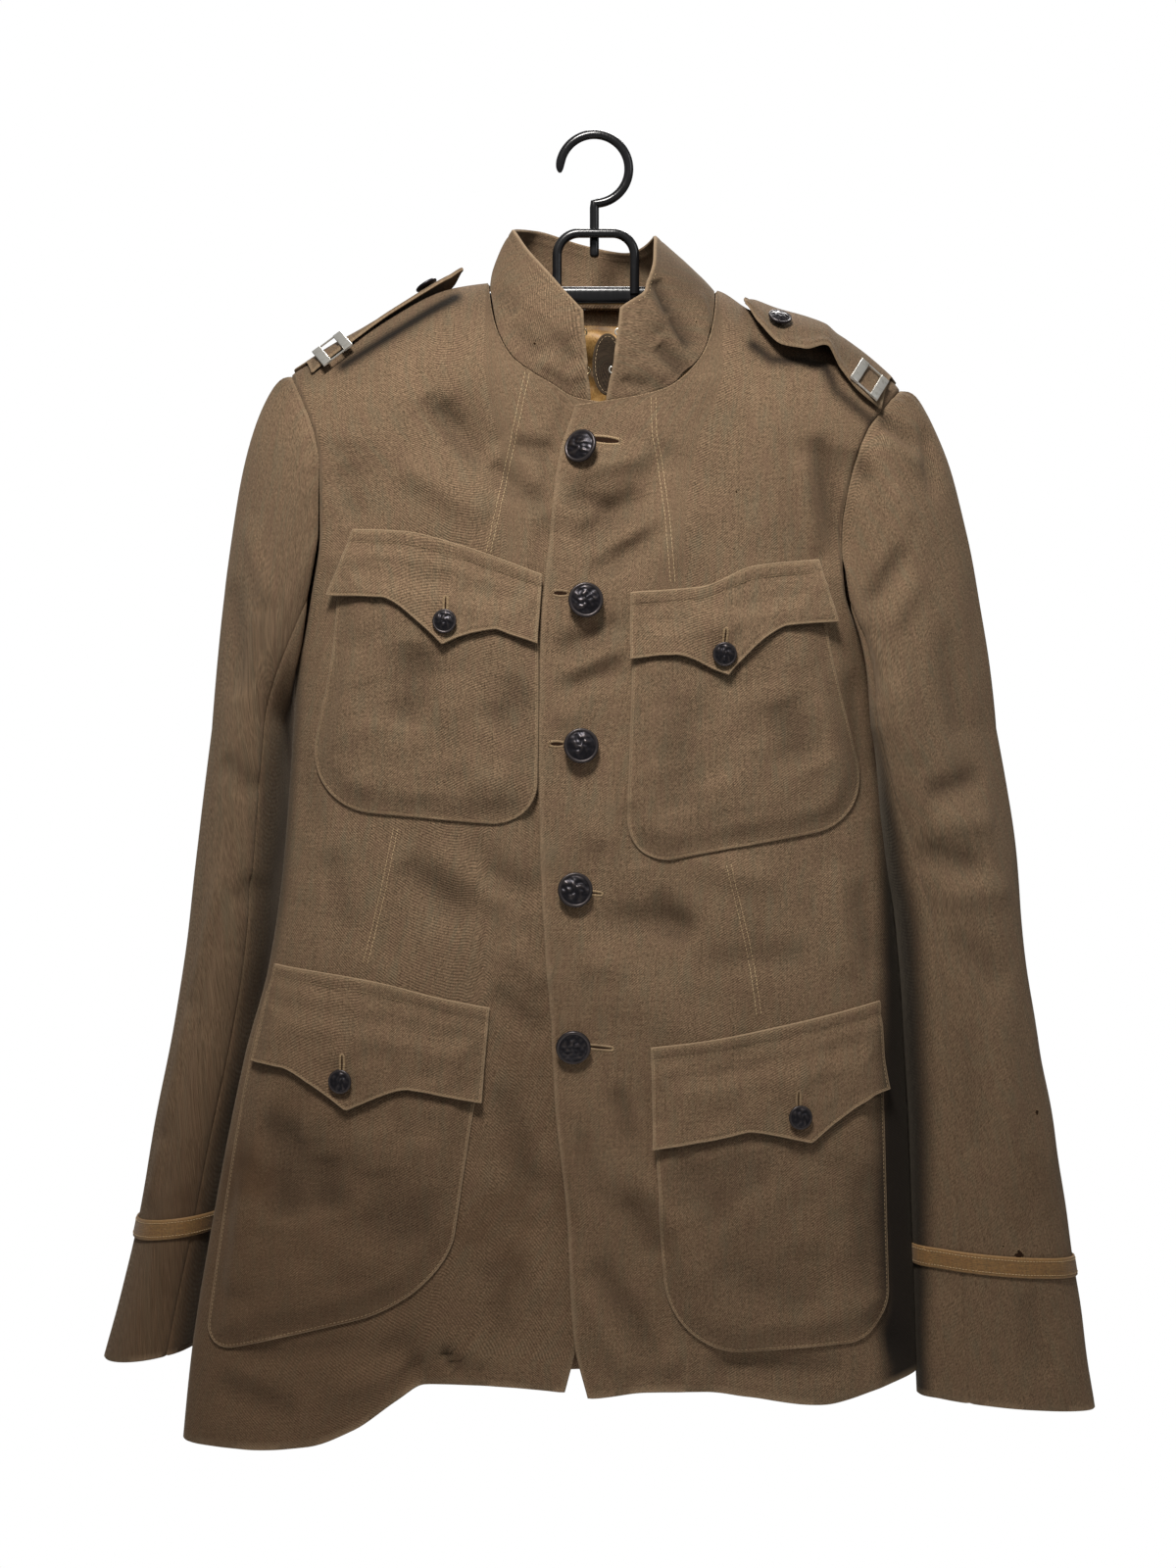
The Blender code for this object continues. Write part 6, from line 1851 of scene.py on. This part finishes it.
def makeSleeve(side):
    word = "left" if side < 0 else "right"
    column = 0 if side < 0 else -1
    frontEdge = fronts[f"front_{word}"][:, -1]
    backEdge = back[:, column]
    frontEdge = frontEdge[frontEdge[:, 2] > coat["underarm"] - 1e-6]
    backEdge = backEdge[backEdge[:, 2] > coat["underarm"] - 1e-6]
    sides = sleeveCut["sides"]
    turns = fullTurn(sides)
    grid, table, slant = sleeveGrid(side, armholeLine(frontEdge, backEdge, turns))
    normal = gridNormals(grid, ring=True) * side
    grid = grid + normal * sleeveFolds(grid, normal)[..., None]
    rise = np.exp(-(np.arange(len(grid)) / 1.6) ** 2)[:, None, None]
    grid = grid - normal * 0.0012 * rise
    sleeveForms[word] = (grid, normal)
    frontSeam, backSeam = round(sides * 6 / 18), round(sides * 14 / 18)
    for part, first, last in (("upper", backSeam - sides, frontSeam), ("under", frontSeam, backSeam)):
        columns = [i % sides for i in range(first, last + 1)]
        outer, facing = grid[:, columns].copy(), normal[:, columns].copy()
        fromSeam = np.minimum(np.arange(len(columns)), np.arange(len(columns))[::-1])
        dip = -0.0007 * np.exp(-(fromSeam / 0.9) ** 2)
        outer = outer + facing * dip[None, :, None]
        outer[:, 0] += unit(outer[:, 1] - outer[:, 0]) * 0.0002
        outer[:, -1] -= unit(outer[:, -1] - outer[:, -2]) * 0.0002
        name = f"sleeve_{word}_{part}"
        # Painted shade on the sleeve's side that faces the body, and in its front folds
        inner = ease((-side * facing[..., 0] - 0.6) / 0.32) * ease((-0.36 - outer[..., 2]) / 0.1)
        inner = inner * paintedShadeLook[f"{word}Sleeve"]
        creased = foldHeight(sleeveCut["foldsFront"], outer[..., 0], outer[..., 2])
        creased = creased * ease(-facing[..., 1] + 0.1)
        paintedShading = np.clip(inner + hollowShade(creased, 0.003, paintedShadeLook["sleeveFolds"]), 0, 1)
        piece = clothShell(name, outer, facing, coat["clothThick"], sleeveWool,
                           borders=("bottom", "top"), shade=paintedShading)
        declareCloth(piece, outer)
    level = sleeveCut["braidLeft"] if side < 0 else sleeveCut["braidRight"]
    wide, thick = sleeveCut["braidWidth"], sleeveCut["braidThick"]
    rings = np.array([sleeveRing(table, side, slant, level + wide * part, turns)
                      for part in np.linspace(-0.5, 0.5, 15)])
    facing = gridNormals(rings, ring=True) * -side
    folds = sleeveFolds(np.concatenate([rings] * 2), np.concatenate([facing] * 2))[15:]
    arch = 0.0002 * (1 - np.linspace(-1, 1, 15) ** 4)[:, None]
    outer = rings + facing * (folds + 0.0003 + thick + arch)[..., None]
    piece = clothShell(f"cuff_braid_{word}", outer, facing, thick, braid, ring=True,
                       borders=("bottom", "top"))
    declareCloth(piece, outer, ring=True)
    parts = []
    for row in (2, -3):
        line, way = (np.concatenate([part[row], part[row][:1]]) for part in (outer, facing))
        parts.append(stitchRow(line + way * 0.0001, way, 110, pitch=0.0022, length=0.0015))
    newObject(f"braid_stitches_{word}", *joined(parts), seamThread)


for side in (-1, 1):
    makeSleeve(side)
print("sleeves built")

# Shoulder straps and pins

strapCut = {
    "grid": (90, 28),
    "thick": 0.0022,
    "endSlant": 0.014,
    "buttonAt": 0.2,
    "buttonRow": {"left": 0.5, "right": 0.66},
    "forward": 0.007,  # how far the right strap's wavy edge leans out over the front
    "slid": 0.006,  # how far the left strap's sleeve end has slid to the front
    "roll": 0.0009,  # the rolled border
    # across, back edge, front edge, lift at the back, lift at the front
    "left": metres((
        (-90, -4, 4, 11, 9), (-98, -20, 14, 8, 6), (-115, -26, 16, 4, 3), (-150, -30, 16, 1.5, 1.5),
        (-180, -30, 17, 1.2, 1.2), (-203, -30, 18, 0.4, 0.4),
    )),
    "right": metres((  # across, back edge, front edge, lift at the back, lift at the front
        (102, 4, 12, 3, 3), (109, -10, 30, 5, 6), (124, -12, 40, 4, 9), (140, -12, 38, 3, 12),
        (156, -12, 36, 3, 13), (166, -12, 40, 3, 6), (180, -10, 43, 2, 3), (204, -6, 40, 0.4, 0.4),
    )),
}

pinCut = {
    "at": 0.8,
    "bar": (0.0245, 0.0065, 0.0018),  # length, width, thickness
    "spacing": 0.0175,
    "link": 0.0012,
    "gap": 0.0004,
    "bevel": 0.0006,
    "onward": {"left": 0, "right": 4},  # columns of the strap's grid further to the sleeve
    "lean": {"left": 0.26, "right": 0.1},  # towards the front
    "row": {"left": 0.8, "right": 0.68},  # part of the strap's width, from its back edge
}


# A point over the shoulder: across it by an arc's length, in front where above zero
def shoulderPoint(x, across, out):
    middle, half, deepFront, deepBack = bodySection(readCurve(coat["shoulder"], 1, x))
    part = np.clip(np.abs((x - middle) / half), 0, 0.999)
    roundness = (1 - part ** coat["squareness"]) ** (1 / coat["squareness"])
    front = across > 0
    depth = np.where(front, deepFront, deepBack) * roundness
    drop = np.where(front, coat["frontRounding"], coat["backRounding"])
    angle = np.abs(across) / depth
    y = -np.sign(across) * depth * np.sin(angle)
    z = readCurve(coat["shoulder"], 1, x) - drop * (1 - np.cos(angle))
    tiltY = -np.sign(across) * np.sin(angle) / depth
    tiltZ = np.cos(angle) / drop
    normal = unit(np.stack([0 * x, tiltY, tiltZ], axis=-1))
    return np.stack([x, y, z], axis=-1) + normal * out[..., None]


def strapGrid(table):
    columns, rows = strapCut["grid"]
    ends = table[0][0], table[-1][0]
    t = closeBorders(columns + 1, abs(ends[1] - ends[0]))[None, :]
    s = closeBorders(rows + 1, 0.045)[:, None]
    x = ends[0] + (ends[1] - ends[0]) * t
    across = readCurve(table, 1, x) * (1 - s) + readCurve(table, 2, x) * s
    lift = readCurve(table, 3, x) * (1 - s) + readCurve(table, 4, x) * s + 0.0006
    edges = np.minimum(np.minimum(s, 1 - s) * 0.045, 0.02)
    across = across + strapCut["forward"] * s * ease((0.158 - x) / 0.02) * (x > 0)
    across = across + strapCut["slid"] * ease((-0.14 - x) / 0.03)
    roll = strapCut["roll"] * np.exp(-((edges - 0.0018) / 0.0016) ** 2)
    soft = 0.0004 * ripple(x, across, 0.03, 21) - 0.0006 * np.exp(-((edges - 0.0055) / 0.001) ** 2) + roll
    x = x - np.sign(x) * strapCut["endSlant"] * s * t ** 4 * (across > 0)
    outer = shoulderPoint(x, across, lift + soft + strapCut["thick"])
    return outer, shoulderPoint(x, across, lift + soft)


# A bar with bevelled upper edges
def barBlock(place, ways, halfLong, halfWide, tall, bevel):
    lengthWay, crossWay, up = ways
    rings = []
    steps = ((0.0, 0.0), (0.0, tall - bevel), (bevel * 0.5, tall - bevel * 0.25), (bevel * 1.4, tall))
    for shrink, height in steps:
        a, b = halfWide - shrink, halfLong - shrink
        turns = [(-a, -b), (0, -b), (a, -b), (a, 0), (a, b), (0, b), (-a, b), (-a, 0)]
        rings.append([place + lengthWay * i + crossWay * j + up * height for i, j in turns])
    return ringSolid(rings)


def makeStrap(word):
    outer, inner = strapGrid(strapCut[word])
    facing = unit(outer - inner)
    piece = clothShell(f"strap_{word}", outer, facing, strapCut["thick"], strapWool)
    declareCloth(piece, outer)
    rows = len(outer)
    lengths = runLengths(outer[rows // 2])
    k = int(np.searchsorted(lengths, strapCut["buttonAt"] * lengths[-1]))
    row = round(rows * strapCut["buttonRow"][word])
    normal = np.cross(outer[row, k + 1] - outer[row, k - 1], outer[row + 4, k] - outer[row - 4, k])
    makeButton(f"button_strap_{word}", outer[row, k], unit(normal * np.sign(normal[2])), "small", 60)
    k = int(np.searchsorted(lengths, pinCut["at"] * lengths[-1])) + pinCut["onward"][word]
    row = round(rows * pinCut["row"][word])
    place = outer[row, k]
    lengthWay = unit(outer[row, k + 6] - outer[row, k - 6])
    crossWay = unit(outer[min(row + 5, rows - 1), k] - outer[row - 5, k])
    up = np.cross(lengthWay, crossWay)
    up = unit(up * np.sign(up[2])) - [0, pinCut["lean"][word], 0]
    crossWay = unit(np.cross(unit(up), lengthWay))
    up = unit(np.cross(lengthWay, crossWay))
    ways = (lengthWay, crossWay, up)
    barLong, barWide, barThick = pinCut["bar"]
    parts = []
    base = place + up * pinCut["gap"]
    for shift in (-0.5, 0.5):
        centre = base + lengthWay * shift * pinCut["spacing"]
        parts.append(barBlock(centre, ways, barLong / 2, barWide / 2, barThick, pinCut["bevel"]))
    for shift in (-1, 1):
        centre = base + crossWay * shift * (barLong / 2 - pinCut["link"] / 2)
        parts.append(barBlock(centre + up * 0.0003, ways, pinCut["link"] / 2, pinCut["spacing"] / 2,
                              barThick * 0.5, 0.0002))
    points, faces = joined(parts)
    piece = newObject(f"rank_bars_{word}", points, faces, silver, None, None, 30)
    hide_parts(f"rank_bars_{word}")


for word in ("left", "right"):
    makeStrap(word)
print("straps built")

# Moth holes

mothHoles = (  # piece, across, height, size
    ("coat", 0.093, -0.246, 0.0009),
    ("coat", -0.113, -0.512, 0.0006),
    ("collar", -0.0397, -0.1483, 0.001),
    ("collar", 0.067, -0.133, 0.001),
    ("sleeve", 0.2951, -0.6564, 0.0017),
    ("sleeve", 0.2803, -0.749, 0.003),
    ("sleeve", 0.27, -0.7445, 0.0009),
)


# The place and normal of a grid's point that is seen at a place from the front
def seenAt(grid, facing, x, z):
    away = np.hypot(grid[..., 0] - x, grid[..., 2] - z) + (facing[..., 1] > -0.2)
    at = np.unravel_index(np.argmin(away), away.shape)
    return grid[at], unit(facing[at])


def makeMothHoles():
    parts, frays = [], []
    chance = np.random.default_rng(31)
    for where, x, z, size in mothHoles:
        if where == "coat":
            middle, facing = bodyPoint(np.array(x), np.array(z)), bodyNormal(np.array(x), np.array(z))
        elif where == "collar":
            middle, facing = seenAt(collar, -gridNormals(collar), x, z)
        else:
            middle, facing = seenAt(*sleeveForms["right"], x, z)
        right = unit(np.cross(facing, [0.0, 0.0, 1.0]))
        up = np.cross(right, facing)
        turns = fullTurn(14)
        reach = size * chance.uniform(0.6, 1.3, 14)
        ring = np.cos(turns)[:, None] * right + np.sin(turns)[:, None] * up
        raised = facing * 0.00012
        # a disc of painted shade for the hole
        points = np.concatenate([middle + ring * reach[:, None] + raised, [middle + raised]])
        parts.append((points, [[i, (i + 1) % 14, 14] for i in range(14)]))
        frays.append(threads(middle + ring * reach[:, None], ring, np.broadcast_to(facing, ring.shape),
                             size * 0.8, 0.0001, 3))
    newObject("moth_holes", *joined(parts), holeShade)
    newObject("frayed_yarns", *joined(frays), holeThread)


makeMothHoles()

# Hanger

hanger = {
    "hookInside": 0.0203,
    "hookRod": 0.0062,
    "stemEnd": -0.0805,
    "handleRod": 0.0064,
    "handleLeft": -0.0252,
    "handleRight": 0.0272,
    "handleTop": -0.0652,
    "handleCorner": 0.015,
    "barTop": -0.1003,
    "barHeight": 0.012,
    "barThick": 0.009,
    "barGap": 0.0021,
    "barEnds": (-0.186, 0.186),
}


def makeHook():
    radius = hanger["hookInside"] + hanger["hookRod"] / 2
    arc = np.radians(np.linspace(186, -84, 90))
    path = [(radius * math.cos(a), 0.0, -hanger["hookInside"] + radius * math.sin(a)) for a in arc]
    start = -hanger["hookInside"] - radius
    end = hanger["stemEnd"]
    heights = [start, start - 0.003, start - 0.006, *np.linspace(start - 0.01, end + 0.002, 12),
               end + 0.001, end + 0.0004, end]
    path += [(0.0, 0.0, z) for z in heights]
    size = np.full(len(path), 1.0)
    size[:6] = (0.3, 0.58, 0.76, 0.86, 0.92, 0.96)
    size[-3:] = (0.9, 0.72, 0.42)
    points, faces = barAlong(path, hanger["hookRod"] / 2 * size, 24)
    piece = newObject("hanger_hook", points, faces, plastic)
    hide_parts("hanger_hook")


def barLevel(x):
    underCloth = readCurve(coat["shoulder"], 1, x) - coat["clothThick"] - hanger["barGap"]
    return np.minimum(hanger["barTop"] - hanger["barHeight"] / 2, underCloth - hanger["barHeight"] / 2)


def makeHangerBar():
    x = np.linspace(*hanger["barEnds"], 120)
    turns = fullTurn(32)
    squared = np.sign(np.cos(turns)) * np.abs(np.cos(turns)) ** 0.7
    upright = np.sign(np.sin(turns)) * np.abs(np.sin(turns)) ** 0.7
    middle = barLevel(x)
    endPart = ease(np.minimum(x - x[0], x[-1] - x) / 0.01) * 0.7 + 0.3
    slope = np.gradient(middle, x)
    rings = []
    for i, place in enumerate(x):
        wayUp = unit(np.array([-slope[i], 0.0, 1.0]))
        centre = np.array([place, 0.0, middle[i] + hanger["barHeight"] / 2 * (1 - endPart[i])])
        half = np.array([hanger["barThick"], hanger["barHeight"]]) / 2 * endPart[i]
        rings.append([centre + wayUp * half[1] * up + np.array([0, half[0], 0]) * deep
                      for deep, up in zip(squared, upright)])
    corner = np.radians(np.linspace(180, 90, 14))
    bend = hanger["handleCorner"]
    ahead = -(hanger["handleRod"] / 2 + hanger["hookRod"] / 2 + 0.0003)
    left, right, top = hanger["handleLeft"], hanger["handleRight"], hanger["handleTop"]
    leftSide = [(left + bend * (1 + math.cos(a)), ahead, top - bend * (1 - math.sin(a))) for a in corner]
    rightSide = [(right - bend * (1 + math.cos(a)), ahead, top - bend * (1 - math.sin(a)))
                 for a in corner[::-1]]
    low = hanger["barTop"] - hanger["barHeight"] / 2
    path = [(left, ahead, low), (left, ahead, hanger["barTop"]), *leftSide, *rightSide,
            (right, ahead, hanger["barTop"]), (right, ahead, low)]
    points, faces = joined([ringSolid(rings), barAlong(path, hanger["handleRod"] / 2, 24)])
    piece = newObject("hanger_bar", points, faces, plastic)
    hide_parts("hanger_bar")


makeHook()
makeHangerBar()
print("hanger built")


# Floor and light

stage = {
    "floor": -1.3,
    "radius": 1.05,  # small enough to stay below the picture from any level view
    "colour": (0.9, 0.9, 0.9, 1),
    # name, place, size, watts, colour, what it looks at
    "lamps": (
        ("keyLamp", (-0.18, -0.98, 0.88), 0.36, 29.0, (1.0, 0.97, 0.93), (0.02, 0.0, -0.4)),
        ("rightLamp", (1.3, -0.9, 0.5), 0.7, 2.5, (0.95, 0.97, 1.0), (0.0, 0.0, -0.45)),
        ("backLamp", (0.3, 1.5, 1.4), 0.9, 34.0, (1.0, 0.98, 0.95), (0.0, 0.0, -0.4)),
    ),
    "skyStrength": 0.16,  # as light on the coat
    "paleness": 1.0,  # as seen behind it
}


def makeFloor():
    made, tree, shader = newMaterial("paleFloor")
    shade = ranged(tree, speckle(tree, objectPlace(tree), 3.0, 2), 0.3, 0.7, 0.86, 0.92)
    shader["Base Color"].default_value = stage["colour"]
    plug(tree, shade, shader["Roughness"])
    turns = fullTurn(96)
    points = [(stage["radius"] * math.cos(a), stage["radius"] * math.sin(a), stage["floor"]) for a in turns]
    mesh = bpy.data.meshes.new("floor")
    mesh.from_pydata(points, [], [list(range(len(points)))])
    mesh.materials.append(made)
    floor = bpy.data.objects.new("floor", mesh)
    bpy.context.scene.collection.objects.link(floor)


def makeLamps():
    for name, place, size, watts, colour, target in stage["lamps"]:
        data = bpy.data.lights.new(name, "AREA")
        data.size = size
        data.energy = watts
        data.color = colour
        lamp = bpy.data.objects.new(name, data)
        lamp.location = place
        way = np.array(target) - np.array(place)
        flat = math.hypot(way[0], way[1])
        lamp.rotation_euler = (math.pi / 2 + math.atan2(way[2], flat), 0.0, math.atan2(-way[0], way[1]))
        bpy.context.scene.collection.objects.link(lamp)


# A weak even sky for light, which looks white behind the coat
def makeSky():
    world = bpy.data.worlds.new("studioAir")
    world.use_nodes = True
    tree = world.node_tree
    lit = tree.nodes["Background"]
    seen = tree.nodes.new("ShaderNodeBackground")
    for node, strength in ((lit, stage["skyStrength"]), (seen, stage["paleness"])):
        node.inputs["Strength"].default_value = strength
        node.inputs["Color"].default_value = (1.0, 1.0, 1.0, 1)
    mix = tree.nodes.new("ShaderNodeMixShader")
    rays = tree.nodes.new("ShaderNodeLightPath")
    tree.links.new(rays.outputs["Is Camera Ray"], mix.inputs[0])
    tree.links.new(lit.outputs[0], mix.inputs[1])
    tree.links.new(seen.outputs[0], mix.inputs[2])
    tree.links.new(mix.outputs[0], tree.nodes["World Output"].inputs["Surface"])
    bpy.context.scene.world = world


bpy.context.scene.view_settings.view_transform = "Standard"
makeFloor()
makeLamps()
makeSky()
print("stage ready")
print("flat sizes in mm and area in cm2:", flatSizes)
